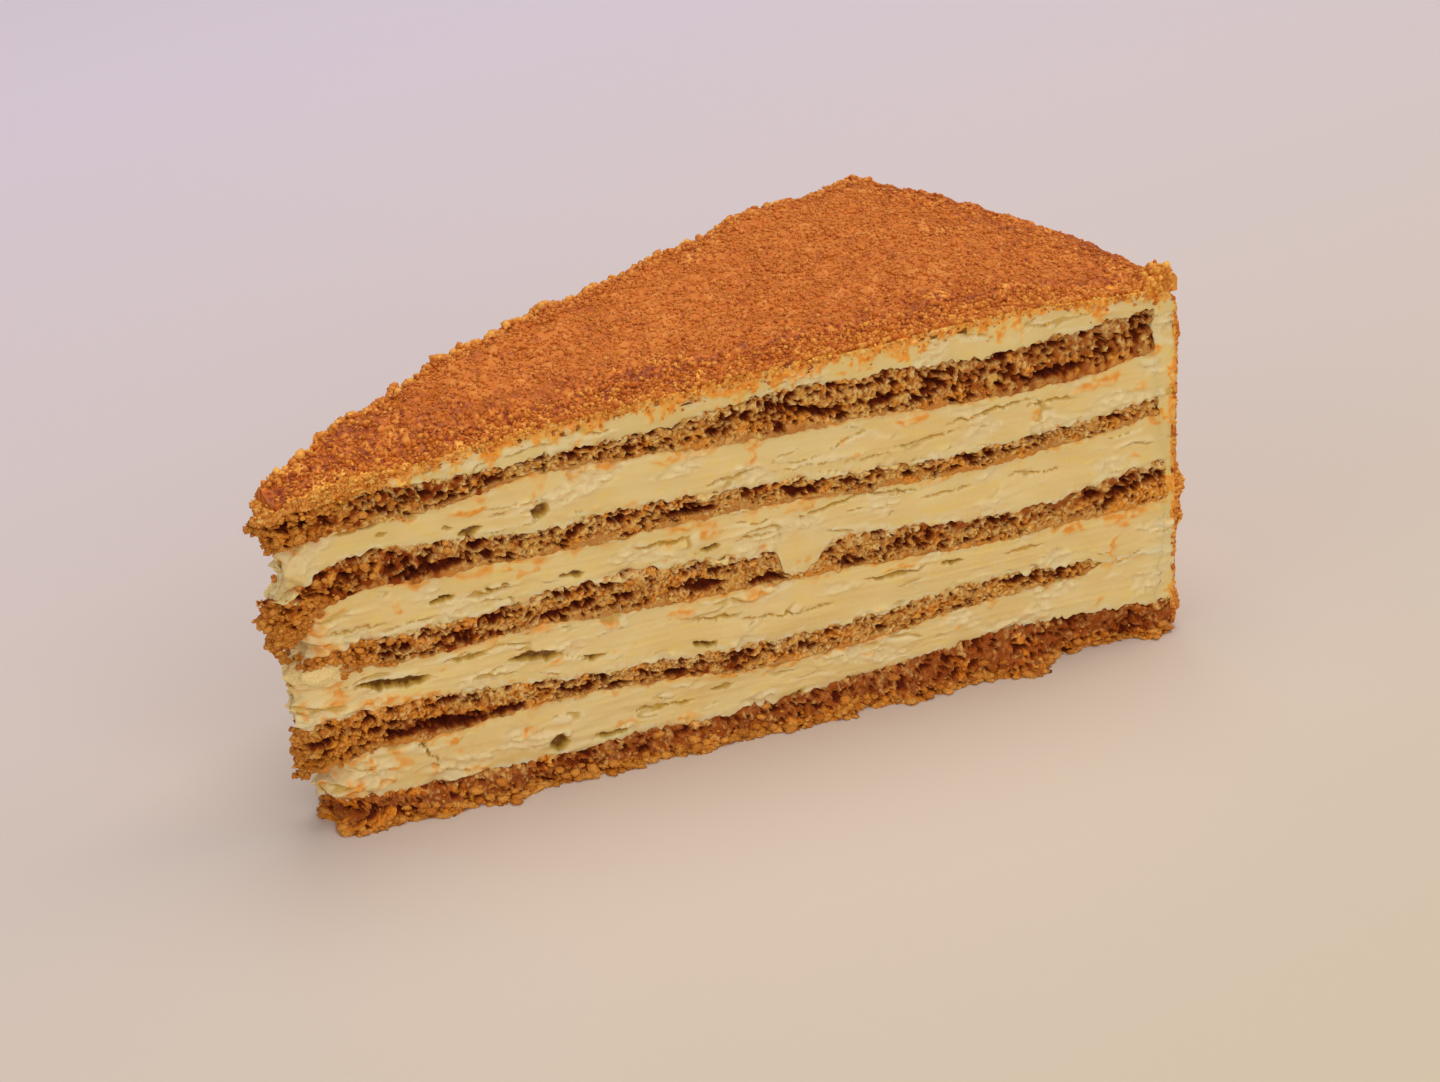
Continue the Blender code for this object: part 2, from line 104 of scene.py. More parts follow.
def hashed(cell: Numbers, seed: int) -> Numbers:
    """Scrambles whole-number cells into whole numbers that look random.

    Args:
        cell: whole numbers, with three in the last axis.
        seed: chooses one of many scrambles.

    Returns:
        One unsigned 32-bit number for each cell.
    """
    c = cell.astype(np.int64).astype(np.uint32)
    word = c[..., 0] * np.uint32(CELL_FACTORS[0]) + c[..., 1] * np.uint32(CELL_FACTORS[1])
    word = word + c[..., 2] * np.uint32(CELL_FACTORS[2]) + np.uint32((seed * SEED_FACTOR) & WORD)
    for shift, factor in SCRAMBLES:
        word = (word ^ (word >> np.uint32(shift))) * np.uint32(factor)
    return word ^ (word >> np.uint32(LAST_SHIFT))


def noise(points: Numbers, seed: int) -> Numbers:
    """Smooth gradient noise, mostly from -0.6 to 0.6, with features one unit in size.

    Args:
        points: places, with three numbers in the last axis.
        seed: chooses the pattern.

    Returns:
        One number for each point.
    """
    cell = np.floor(points)
    part = points - cell
    ease = part**3 * (part * (part * 6 - 15) + 10)
    total = np.zeros(points.shape[:-1])
    for corner in product((0, 1), repeat=3):
        step = np.array(corner, float)
        slopes = EDGE_DIRECTIONS[hashed(cell + step, seed) % len(EDGE_DIRECTIONS)]
        weight = np.where(step == 1, ease, 1 - ease).prod(-1)
        total += weight * ((part - step) * slopes).sum(-1)
    return total


def layered_noise(points: Numbers, seed: int, octaves: int = 3) -> Numbers:
    """Gradient noise in several sizes at once, each half as large and as strong as the last.

    Args:
        points: places, with three numbers in the last axis.
        seed: chooses the pattern.
        octaves: how many sizes there are.

    Returns:
        One number for each point, mostly from -0.7 to 0.7.
    """
    total = np.zeros(points.shape[:-1])
    for k in range(octaves):
        total += noise(points * 2**k, seed + OCTAVE_SEEDS * k) / 2**k
    return total


def cells(points: Numbers, seed: int) -> tuple[Numbers, Numbers, Numbers]:
    """Distances to the nearest two of a cloud of seeds, one in each unit cell.

    Args:
        points: places, with three numbers in the last axis.
        seed: chooses the cloud.

    Returns:
        The nearest distance, the second nearest, and a number from 0 to 1 for the nearest seed.
    """
    cell = np.floor(points)
    part = points - cell
    first = np.full(points.shape[:-1], 9.0)
    second = first.copy()
    owner = np.zeros(points.shape[:-1])
    for step in product((-1, 0, 1), repeat=3):
        code = hashed(cell + np.array(step), seed)
        away = np.zeros(points.shape[:-1])
        for a in range(3):
            spot = ((code >> np.uint32(AXIS_BITS * a)) & np.uint32(AXIS_MASK)) / AXIS_MASK
            away += (step[a] + spot - part[..., a]) ** 2
        nearer = away < first
        second = np.where(nearer, first, np.minimum(second, away))
        owner = np.where(nearer, (code % np.uint32(OWNERS)) / OWNERS, owner)
        first = np.where(nearer, away, first)
    return np.sqrt(first), np.sqrt(second), owner


def step_between(low: float, high: float, values: Numbers) -> Numbers:
    """Smooth step from 0 at low to 1 at high; low may be the larger of the two."""
    t = np.clip((values - low) / (high - low), 0, 1)
    return t * t * (3 - 2 * t)


def smooth_curve(stations: Numbers, heights: Numbers, at: Numbers) -> Numbers:
    """Curve through the heights at the stations, with no corners.

    Args:
        stations: rising places along the slice.
        heights: the height at each.
        at: places to read the curve at.

    Returns:
        The curve's height at each place.
    """
    slopes = np.gradient(heights, stations)
    at = np.clip(at, stations[0], stations[-1])
    i = np.clip(np.searchsorted(stations, at, side="right") - 1, 0, len(stations) - 2)
    span = stations[i + 1] - stations[i]
    t = (at - stations[i]) / span
    return (
        (2 * t**3 - 3 * t**2 + 1) * heights[i]
        + (t**3 - 2 * t**2 + t) * span * slopes[i]
        + (3 * t**2 - 2 * t**3) * heights[i + 1]
        + (t**3 - t**2) * span * slopes[i + 1]
    )


def along_path(path: Outline, share: Numbers) -> tuple[Numbers, Numbers]:
    """Points of a bent line.

    Args:
        path: the line's corners, as radius and height.
        share: the points' shares of its length.

    Returns:
        Their radii and their heights.
    """
    corners = np.array(path, float)
    lengths = np.concatenate([[0], np.cumsum(np.hypot(*np.diff(corners, axis=0).T))])
    run = share * lengths[-1]
    return np.interp(run, lengths, corners[:, 0]), np.interp(run, lengths, corners[:, 1])


def level_direction(turn: Numbers) -> Numbers:
    """Unit directions at the height they start from, by their turn from the x axis."""
    return np.stack([np.cos(turn), np.sin(turn), np.zeros_like(turn)], -1)


@dataclass(frozen=True)
class SliceForm:
    """The shape that the pieces share: the wedge, the layers' surfaces and the walls at the rim.

    Surfaces are numbered from 0 at the foot to coat_top, and each has its heights at the stations.
    A wave has its height, its length and how far it turns from surface to surface. Raggedness is
    coarse and fine. A wall is given from the top down, as radius and height.
    """

    angle: float = math.radians(28)
    axis: tuple[float, float] = (68.918, -0.165)
    stations: tuple[float, ...] = (7, 14, 25, 40, 55, 70, 85, 100, 115, 127)
    surfaces: tuple[tuple[float, ...], ...] = (
        (0, 0, 0, 0, 0, 0, 0, 0, 0, 0),
        (3, 3.5, 3.2, 3, 2.9, 3.2, 4.2, 5.1, 5, 4.4),
        (7, 9, 9, 10, 9.6, 8, 8.3, 9.8, 10.7, 10.8),
        (13, 14.5, 14.5, 13.5, 12.2, 11.4, 12, 13.4, 12.7, 12.4),
        (18, 20, 20.1, 20.5, 19.4, 19.4, 19, 18, 18.1, 18.9),
        (21, 23.5, 23.3, 24.9, 25.3, 23.8, 23.4, 21.8, 22.9, 24.7),
        (23.5, 29, 29.9, 29.9, 29.9, 29.8, 29, 29.1, 29.7, 30.9),
        (30, 34.5, 35, 33.3, 33.6, 33.1, 32.1, 31.5, 32.2, 33.9),
        (37, 38.3, 38.4, 40.2, 39.9, 39.1, 38.7, 38, 38.6, 40.2),
        (40.6, 42.2, 42.4, 42.9, 43.3, 44.4, 44.7, 44.4, 45.1, 46.2),
        (42.6, 44, 44.7, 45.9, 46.6, 47.5, 48, 48.8, 48.6, 48.2),
    )
    coat_top: int = 10
    coat_level: int = 11
    wave_strengths: tuple[tuple[int, float], ...] = ((1, 0.6), (10, 0.4))
    long_wave: Place = (0.18, 9, 2.1)
    side_wave: tuple[float, float, float, float] = (0.7, 17, 1.3, 2.4)
    under_rag: tuple[float, float] = (0.34, 0.3)
    over_rag: tuple[float, float] = (0.6, 0.5)
    coat_rag: tuple[float, float] = (0.2, 0.15)
    rag_sizes: tuple[float, float] = (2.4, 0.8)
    end_rag_sizes: tuple[float, float] = (2.1, 0.8)
    seam: tuple[float, float, float, float] = (70.6, 72.2, 74.6, 79.8)
    seam_surface: int = 5
    seam_depth: float = 3.3
    mound: Place = (2.4, 40, 24)
    second_sponge: tuple[int, int] = (2, 3)
    second_end: float = 117.6
    rim_wall: Outline = (
        (126.4, 48.4), (127.9, 46.4), (128.4, 42), (128.5, 33), (128.7, 24), (129, 14),
        (129.3, 5.3),
    )
    layer_wall: Outline = (
        (124.9, 46), (125, 40), (126, 34.5), (126.2, 29), (127.6, 24.4), (127.6, 18.5),
        (126.8, 5.3),
    )

    def plain_surface(self, number: int, radius: Numbers, across: Numbers) -> Numbers:
        """Height of a surface before its fine raggedness.

        Args:
            number: the surface.
            radius: radii of the points.
            across: their shares of the way across.

        Returns:
            Their heights.
        """
        if number == 0:
            return np.zeros(np.broadcast(radius, across).shape)
        height = smooth_curve(
            np.array(self.stations, float), np.array(self.surfaces[number], float), radius
        )
        level = self.coat_level if number == self.coat_top else number
        rise, length, turn = self.long_wave
        wave = rise * np.sin(radius / length + turn * level)
        rise, length, turn, lean = self.side_wave
        wave = wave + rise * across * np.sin(radius / length + turn * level + lean * across)
        height = height + dict(self.wave_strengths).get(number, 1.0) * wave
        if number == self.seam_surface:
            inside = step_between(*self.seam[:2], radius) * step_between(*self.seam[:1:-1], radius)
            height = height - self.seam_depth * inside
        if number == self.coat_top:
            rise, middle, spread = self.mound
            height = height + rise * across * np.exp(-(((radius - middle) / spread) ** 2))
        return height

    def surface(self, number: int, radius: Numbers, across: Numbers) -> Numbers:
        """Height of a surface with its raggedness, which the pieces on both sides of it share.

        Args:
            number: the surface.
            radius: radii of the points.
            across: their shares of the way across.

        Returns:
            Their heights.
        """
        height = self.plain_surface(number, radius, across)
        if number == 0:
            return height
        closing = number in self.second_sponge
        if closing:
            other = self.plain_surface(sum(self.second_sponge) - number, radius, across)
            closed = step_between(self.second_end - 2.2, self.second_end + 1.4, radius)
            height = height + closed * ((height + other) / 2 - height)
        coarse, fine = self.over_rag if number % 2 else self.under_rag
        if number == self.coat_top:
            coarse, fine = self.coat_rag
        spots = self.spots(radius, across, 7.3 * number)
        wide, narrow = self.rag_sizes
        rag = coarse * noise(spots / wide, Seed.SURFACE + number)
        rag = rag + fine * noise(spots / narrow, Seed.FINE_SURFACE + number)
        return height + (rag * (1 - closed) if closing else rag)

    def place(self, radius: Numbers, across: Numbers, height: Numbers) -> Numbers:
        """Points of the slice in its own frame.

        Args:
            radius: radii of the points.
            across: their shares of the way across.
            height: their heights.

        Returns:
            The points, with x, y and z in the last axis.
        """
        angle = (across - 0.5) * self.angle
        parts = (
            radius * np.cos(angle) - self.axis[0], radius * np.sin(angle) - self.axis[1], height
        )
        return np.stack(np.broadcast_arrays(*parts), -1)

    def polar(self, x: Numbers, y: Numbers) -> tuple[Numbers, Numbers]:
        """Radii, and shares of the way across, of points of the slice's own frame."""
        east, north = x + self.axis[0], y + self.axis[1]
        return np.hypot(east, north), np.arctan2(north, east) / self.angle + 0.5

    def spots(self, radius: Numbers, across: Numbers, height: Numbers) -> Numbers:
        """Radius, side and height of points, in the last axis."""
        return np.stack(
            np.broadcast_arrays(radius, (across - 0.5) * self.angle * radius, height), -1
        )

    def from_cuts(self, radius: Numbers, across: Numbers) -> tuple[Numbers, Numbers]:
        """Distances of points from the front cut and from the back cut."""
        return across * self.angle * radius, (1 - across) * self.angle * radius

    def outward(self, back: Numbers) -> Numbers:
        """Directions that the front cut faces where back is 0, and the back cut where it is 1."""
        turn = 0.5 * self.angle + math.pi / 2
        return level_direction(np.where(back > 0.5, turn, -turn))

    def away(self, across: Numbers) -> Numbers:
        """Directions away from the cake's axis, at shares of the way across."""
        return level_direction((across - 0.5) * self.angle)

    def wall_radius(self, wall: Outline, height: Numbers) -> Numbers:
        """Radii of a wall at some heights."""
        rising = np.array(wall[::-1], float)
        return np.interp(height, rising[:, 1], rising[:, 0])

    def end_rag(self, across: Numbers, height: Numbers) -> Numbers:
        """How far the layers' ends at the rim reach past their wall, which the coat follows.

        Args:
            across: shares of the way across.
            height: heights of the points.

        Returns:
            One distance for each point.
        """
        spots = np.stack(np.broadcast_arrays(60 * across, 0.0 * height, height), -1)
        wide, narrow = self.end_rag_sizes
        return 0.75 * noise(spots / wide, Seed.END) + 0.5 * noise(spots / narrow, Seed.FINE_END)


FORM = SliceForm()


@dataclass(frozen=True)
class Mark:
    """A hole, slit, smear or patch on the front cut: its middle, size, depth and slope."""

    radius: float
    height: float
    length: float
    width: float
    depth: float = 1.0
    slope: float = 0.0

    def cover(self, spots: Numbers) -> Numbers:
        """How far the mark covers some spots.

        Args:
            spots: radius, side and height of points that noise has stirred.

        Returns:
            1 inside the mark and 0 outside it.
        """
        along = spots[..., 0] - self.radius
        up = spots[..., 2] - self.height - self.slope * along
        return step_between(1.25, 0.7, np.hypot(2 * along / self.length, 2 * up / self.width))


def marks(*rows: tuple[float, ...]) -> tuple[Mark, ...]:
    """One mark for each row of numbers."""
    return tuple(Mark(*row) for row in rows)


def covered(chosen: tuple[Mark, ...], spots: Numbers) -> Numbers:
    """How deep the deepest of some marks is at each spot.

    Args:
        chosen: the marks.
        spots: radius, side and height of the points.

    Returns:
        One depth for each spot, and 0 where there is no mark.
    """
    cover = np.zeros(len(spots))
    for mark in chosen:
        cover = np.maximum(cover, mark.depth * mark.cover(spots))
    return cover


# Gaps and large pores of the sponges on the front cut
SPONGE_GAPS = marks(
    (46, 42.9, 1.9, 1.4, 1.8), (57, 43.2, 2.4, 1.1, 1.7), (67, 42.3, 1.8, 1.2, 1.6),
    (71, 43, 3, 1.1, 1.7, -0.1), (77, 41.2, 7, 1, 1.9, -0.22), (86.5, 40.8, 3.8, 0.9, 1.7),
    (93, 41.4, 3.2, 1.4, 1.8, 0.2), (103, 43.8, 2.6, 1, 1.6), (110, 40, 9, 1.2, 1.9, 0.04),
    (50, 32.5, 3.4, 0.9, 1.6), (59.5, 31.5, 6, 1, 1.7, -0.1), (68, 32.6, 2.6, 0.9, 1.5),
    (74, 31, 3, 0.9, 1.5), (98, 30.9, 2.6, 0.8, 1.4), (26, 31.3, 9, 1.3, 1.8, 0.05),
    (32, 33, 1.8, 1, 1.5), (11.5, 33.2, 3.2, 0.8, 1.3), (45, 22.3, 3, 1.1, 1.6),
    (50, 22, 2.2, 1.2, 1.7), (41, 21.8, 4.5, 0.9, 1.4), (61, 21.2, 6, 1, 1.7, -0.05),
    (69, 20.3, 3.2, 0.9, 1.6), (33, 23, 2.4, 1, 1.5), (29, 22, 3.6, 0.9, 1.5),
    (27.5, 10.7, 9, 1.7, 2.2, -0.05), (34.5, 10.6, 4, 1.1, 2), (21, 10.6, 5, 0.9, 1.6),
    (57, 10.2, 3.4, 0.8, 1.5), (66, 10.8, 3, 0.8, 1.4), (44, 11, 4, 0.9, 1.5),
    (121, 21.5, 4, 1, 1.8, 0.15), (116, 21.6, 3, 1.1, 1.7), (125, 22.6, 1.8, 1.6, 1.6),
    (105, 12.2, 3, 0.9, 1.4), (112, 12, 2.2, 0.9, 1.4),
)

# Holes, slits and cracks of the cream on the front cut, the thin ones less deep
CREAM_GAPS = tuple(
    replace(gap, depth=gap.depth * min(1.0, 0.3 + gap.width)) for gap in marks(
        (40, 35.6, 2.2, 1.5, 1.9), (31, 34.9, 2.2, 0.9, 1.4), (20, 36.9, 1.3, 0.6, 0.8),
        (28, 35.7, 1.2, 0.6, 0.8), (27, 26.8, 3.4, 0.9, 1.6, 0.05), (34, 26.9, 3.2, 0.6, 1.3),
        (16.5, 25.4, 8, 0.35, 0.9, -0.05), (43.5, 26.5, 3.2, 0.6, 1.5, -0.1),
        (55.5, 27.9, 6.5, 0.45, 1.1),
        (62, 26, 2.8, 0.55, 1.5), (68, 26.3, 4.5, 0.35, 0.9), (79, 28.3, 11, 0.4, 1.1, 0.2),
        (87, 28.3, 9, 0.35, 1, -0.1), (95, 26.6, 7, 0.35, 0.9), (20.2, 17.5, 8.6, 1, 2.3, -0.12),
        (29.5, 18.7, 4, 0.6, 1), (38.5, 16.8, 6, 1.2, 1.6, -0.1), (46, 14.8, 2.9, 0.6, 1.4),
        (61, 13.2, 2.9, 0.7, 1.5, -0.25), (62.5, 16.4, 7, 0.4, 1.1, -0.1),
        (69.5, 15.1, 7, 0.35, 1, -0.1),
        (76, 14.8, 5.5, 0.35, 0.9), (87.5, 16.8, 8.5, 0.5, 1.2), (96, 16.8, 3, 0.6, 1.2),
        (106, 16.3, 6, 0.35, 0.9), (41, 4.4, 2.4, 2, 2.2), (48, 3.9, 5, 0.7, 1.2),
        (55, 6, 9, 0.4, 1.1, -0.06), (63, 6.7, 2.8, 0.5, 1.1), (72.5, 3.1, 4, 0.5, 1.3, 0.3),
        (23.5, 8.4, 3.5, 0.5, 1.2, -2), (101, 36.4, 12, 0.4, 1.1, 0.12),
        (92, 34.4, 10, 0.35, 1, 0.05),
        (110, 36.2, 7, 0.35, 1), (84, 33.4, 7, 0.3, 0.8), (108, 26.6, 8, 0.35, 0.9, -0.1),
        (17, 38, 6, 0.5, 0.9, 0.1), (65, 34.8, 8, 0.35, 1, 0.1),
    )
)

# Cream that the knife has left on the ends of the sponges
CREAM_BLOBS = marks(
    (12.3, 20.2, 5.6, 4.8), (8.4, 31.6, 4, 2.2), (64, 33.6, 9, 0.9, 1, 0.1), (88, 32.2, 6, 0.7),
    (50, 24.9, 5, 0.8), (63, 24.3, 4, 0.8),
)

# Parts of the sponges that are soaked with syrup and darker; their depth is how much darker
SOAKED = marks(
    (19, 31.8, 21, 5.4), (27, 10.8, 17, 3.4), (14, 39.2, 14, 2.6), (36, 38.9, 16, 1.6),
    (30, 20.8, 12, 1.6), (60, 9.9, 14, 1.4), (25, 41.6, 18, 2.4), (112, 41, 36, 8, 0.8),
    (106, 22.5, 40, 5, 0.85), (110, 3, 44, 7, 0.7), (64, 3, 44, 4, 0.6),
)

# Parts of the sponges that are amber with honey
AMBER = marks(
    (20.5, 14.8, 15, 3.2), (10.5, 29.6, 9, 8), (9.5, 40.4, 9, 5), (12.5, 10.5, 5, 3),
    (13.5, 19.6, 5, 4), (117, 39.2, 12, 1.6), (96, 38.9, 10, 1.4), (123.5, 20.2, 11, 4.4, 1, 0.1),
)

# Crumbs and syrup dragged over the cream by the knife
SMEARS = marks(
    (21, 15.2, 12, 1.7, 1, -0.1), (12.4, 22, 3.6, 6.5), (9, 16.2, 3.4, 2.2), (11.5, 26.2, 3, 1.6),
    (13.2, 17.2, 2.4, 3.6), (16, 7.4, 2, 2.6), (18.5, 4.6, 3, 1.4), (13.4, 5.4, 1.6, 2),
    (68, 38.2, 1.5, 4.6), (62, 28.3, 3.4, 2.2), (59, 29.4, 6, 1.2), (74, 29.2, 4.6, 1.6, 1, 0.2),
    (95, 29.4, 8, 1.8, 1, 0.1), (117, 37.4, 8, 1.7, 1, 0.12), (123, 35.7, 1.8, 1.2),
    (125, 40.1, 3, 1.6), (126, 30.8, 3, 2.4), (114, 17.6, 3.2, 1.9), (122.5, 18, 8, 2.6, 1, 0.2),
    (128, 20.4, 4, 4.6), (120, 13.4, 0.9, 4.2), (102, 9.6, 1.8, 1.3), (118, 6.4, 1, 1.4),
    (68, 18.5, 4.2, 1.6), (58, 18.1, 3, 2.2), (48, 19.1, 2.8, 1.2), (71, 8, 5, 1.4),
    (64, 8.5, 6, 1),
    (58, 3.4, 3.2, 2), (30, 3.4, 3, 1.8), (37, 6.8, 2, 1.2), (15, 4.2, 2.2, 3), (27, 8.2, 2, 1.2),
    (41, 15.6, 2.2, 0.9), (31, 37.5, 5, 0.9), (57, 38.9, 5, 0.8), (90, 37.4, 6, 0.9),
    (35, 29.4, 2.4, 0.8), (24, 29.6, 3.5, 0.9), (108, 34.9, 1.6, 1.3), (98, 36.3, 1.8, 1.2),
    (47, 34.4, 1.2, 0.7), (88, 17.8, 5, 0.8), (21, 27.2, 1.2, 1.8),
)

# How far the ragged tip stands out: the height, how far and over what part of the height
TIP_LUMPS = (
    (40.6, 2.4, 2.4), (34, 0.9, 1.2), (28.2, 2.4, 3), (20.8, 1.9, 1.9), (16.8, 1.9, 1.8),
    (12.8, 0.9, 1.6), (4.5, 1.2, 1.5), (0.4, 1.2, 1.4),
)

# Where the knife has dragged the foot of the lowest sponge out: the radius and by how much
FOOT_LUMPS = (
    (16, 0.8), (25, 1.2), (32.5, 2.4), (47.5, 0.5), (60, 1.1), (72, 1.2), (78.5, 1.4), (88.5, 2),
    (94, 1), (102.5, 1.2), (106.5, 2.4), (125.5, 2.4),
)


def foot_flare(radius: Numbers, share: Numbers, back: Numbers) -> Numbers:
    """How far the foot of the lowest sponge stands out from the cuts.

    Args:
        radius: radii of points on a cut.
        share: their shares of the way up the sponge.
        back: 1 on the back cut, where there are fewer lumps.

    Returns:
        Distances square to the cut.
    """
    even = 0.3 + 1.9 * step_between(113, 106, radius)
    lumps = sum(size * np.exp(-(((radius - middle) / 2.3) ** 2)) for middle, size in FOOT_LUMPS)
    wave = np.stack([radius / 3.1, back * 9, radius * 0], -1)
    front = (even + 0.8 * noise(wave, Seed.FOOT)) * (1 - share) ** 0.8
    front = front + lumps * np.clip(1 - share, 0, 1) ** 1.4
    behind = (0.9 + 1.1 * noise(wave, Seed.BACK_FOOT)) * (1 - share)
    return np.where(back > 0.5, behind, front)


def tip_reach(height: Numbers) -> Numbers:
    """How far the tip stands out at a height."""
    return sum(
        size * np.exp(-(((height - middle) / spread) ** 2)) for middle, size, spread in TIP_LUMPS
    )


def choose_only(*chosen: bpy.types.Object) -> None:
    """Chooses some objects and no others, and makes the first one active.

    Args:
        chosen: the objects.
    """
    bpy.ops.object.select_all(action="DESELECT")
    for piece in chosen:
        piece.select_set(True)
    bpy.context.view_layer.objects.active = chosen[0]


def unit_points(piece: bpy.types.Object) -> Numbers:
    """Places of a mesh's vertices.

    Args:
        piece: the mesh's object.

    Returns:
        One row for each vertex, in the mesh's own units.
    """
    points = np.empty(len(piece.data.vertices) * 3, np.float32)
    piece.data.vertices.foreach_get("co", points)
    return points.reshape(-1, 3).astype(float)


def set_points(piece: bpy.types.Object, points: Numbers) -> None:
    """Moves a mesh's vertices to points that are given in millimetres."""
    piece.data.vertices.foreach_set("co", (points * MM).astype(np.float32).ravel())
    piece.data.update()


def set_values(piece: bpy.types.Object, **values: Numbers) -> None:
    """Keeps numbers for each vertex, as named attributes that the material reads.

    Args:
        piece: the mesh's object.
        values: the numbers of each attribute, which are kept from 0 to 1.
    """
    for name, numbers in values.items():
        attribute = piece.data.attributes.new(name, "FLOAT", "POINT")
        attribute.data.foreach_set("value", np.clip(numbers, 0, 1).astype(np.float32))


def outer_points(piece: bpy.types.Object, start: float) -> tuple[Numbers, Numbers]:
    """Vertices of a layer on its cuts and its tip, but for those under the knife's cream.

    Args:
        piece: the layer's object.
        start: the radius of its tip.

    Returns:
        The points in millimetres, and their radii.
    """
    points = unit_points(piece) / MM
    pale = np.empty(len(points), np.float32)
    piece.data.attributes["pale"].data.foreach_get("value", pale)
    radius, across = FORM.polar(points[:, 0], points[:, 1])
    outside = (np.minimum(across, 1 - across) < ON_CUT) | (radius < start + ON_TIP)
    outside &= pale < 0.9
    return points[outside], radius[outside]


def lattice_box(name: str, columns: int, rows: int, levels: int) -> bpy.types.Object:
    """A closed unit box whose six sides are grids, joined along their edges.

    Args:
        name: the object's name.
        columns: faces along x.
        rows: faces along y.
        levels: faces along z.

    Returns:
        The new object, from 0 to 1 on each axis.
    """
    quarter = math.pi / 2
    sides = (
        (2, (0, 0, 0), columns, rows),
        (1, (quarter, 0, 0), columns, levels),
        (0, (quarter, 0, quarter), rows, levels),
    )
    parts = []
    for (axis, turn, wide, high), end in product(sides, (0, 1)):
        centre = [end if a == axis else 0.5 for a in range(3)]
        bpy.ops.mesh.primitive_grid_add(
            x_subdivisions=wide, y_subdivisions=high, size=1, location=centre, rotation=turn
        )
        parts.append(bpy.context.object)
    choose_only(*parts)
    bpy.ops.object.join()
    box = bpy.context.object
    bpy.ops.object.transform_apply(location=True, rotation=True, scale=True)
    bpy.ops.object.mode_set(mode="EDIT")
    bpy.ops.mesh.select_all(action="SELECT")
    bpy.ops.mesh.remove_doubles(threshold=1e-5)
    bpy.ops.mesh.normals_make_consistent(inside=False)
    bpy.ops.object.mode_set(mode="OBJECT")
    box.name = box.data.name = name
    return box


def close_rows(share: Numbers) -> Numbers:
    """Draws the rows across the slice closer together beside the two cuts."""
    return share - CLOSENESS * np.sin(2 * math.pi * share)


def pushed(
    radius: Numbers, across: Numbers, height: Numbers, start: float, depth: Numbers, reach: Numbers
) -> Numbers:
    """Points of a piece with relief on its cuts and its tip, which fades out inside it.

    Args:
        radius: radii of the points.
        across: their shares of the way across.
        height: their heights.
        start: radius of the tip.
        depth: how far the cuts stand out.
        reach: how far the tip stands out.

    Returns:
        Points in the slice's own frame.
    """
    back = np.where(across > 0.5, 1.0, 0.0)
    depth = depth * np.clip(1 - np.minimum(*FORM.from_cuts(radius, across)) / FADE, 0, 1)
    reach = reach * np.clip(1 - (radius - start) / FADE, 0, 1)
    points = FORM.place(radius, across, height) + FORM.outward(back) * depth[:, None]
    return points - FORM.away(across) * reach[:, None]


@dataclass(frozen=True)
class Tones:
    """A surface's relief in millimetres; the painted shade of its hollows and cracks, with the
    darker crust where syrup soaked in; its syrup, stains, and pale specks with painted glints.
    """

    relief: Numbers
    shade_and_soak: Numbers
    syrup: Numbers
    stain: Numbers
    pale: Numbers

    def mixed(self, other: "Tones", share: Numbers) -> dict[str, Numbers]:
        """These tones where share is 0 and the other ones where it is 1, by name."""
        names = ("shade_and_soak", "syrup", "stain", "pale")
        return {n: getattr(self, n) * (1 - share) + getattr(other, n) * share for n in names}


@dataclass(frozen=True)
class CutFace:
    """What the faces of sponge and of cream share: their seed and how far the tip's patterns go."""

    seed: int
    tip_zone: tuple[float, float] = (13.0, 3.0)

    def wave(self, spots: Numbers, size: float | Place, number: int) -> Numbers:
        """Noise with features of a size; the number chooses one of the face's patterns."""
        return noise(spots / size, self.seed + number)

    def stir(self, spots: Numbers, size: float | Place) -> Numbers:
        """Three patterns at once, for moving spots about."""
        return np.stack([self.wave(spots, size, k) for k in (1, 2, 3)], -1)

    def tones(self, spots: Numbers, share: Numbers, front: Numbers, tip: Numbers) -> Tones:
        """Relief and tones of a cut.

        Args:
            spots: radius, side and height of its points.
            share: their shares of the way up the layer.
            front: 1 on the front cut, where the marks lie.
            tip: 1 at the tip, and 0 away from it.

        Returns:
            The tones of the points.
        """
        raise NotImplementedError


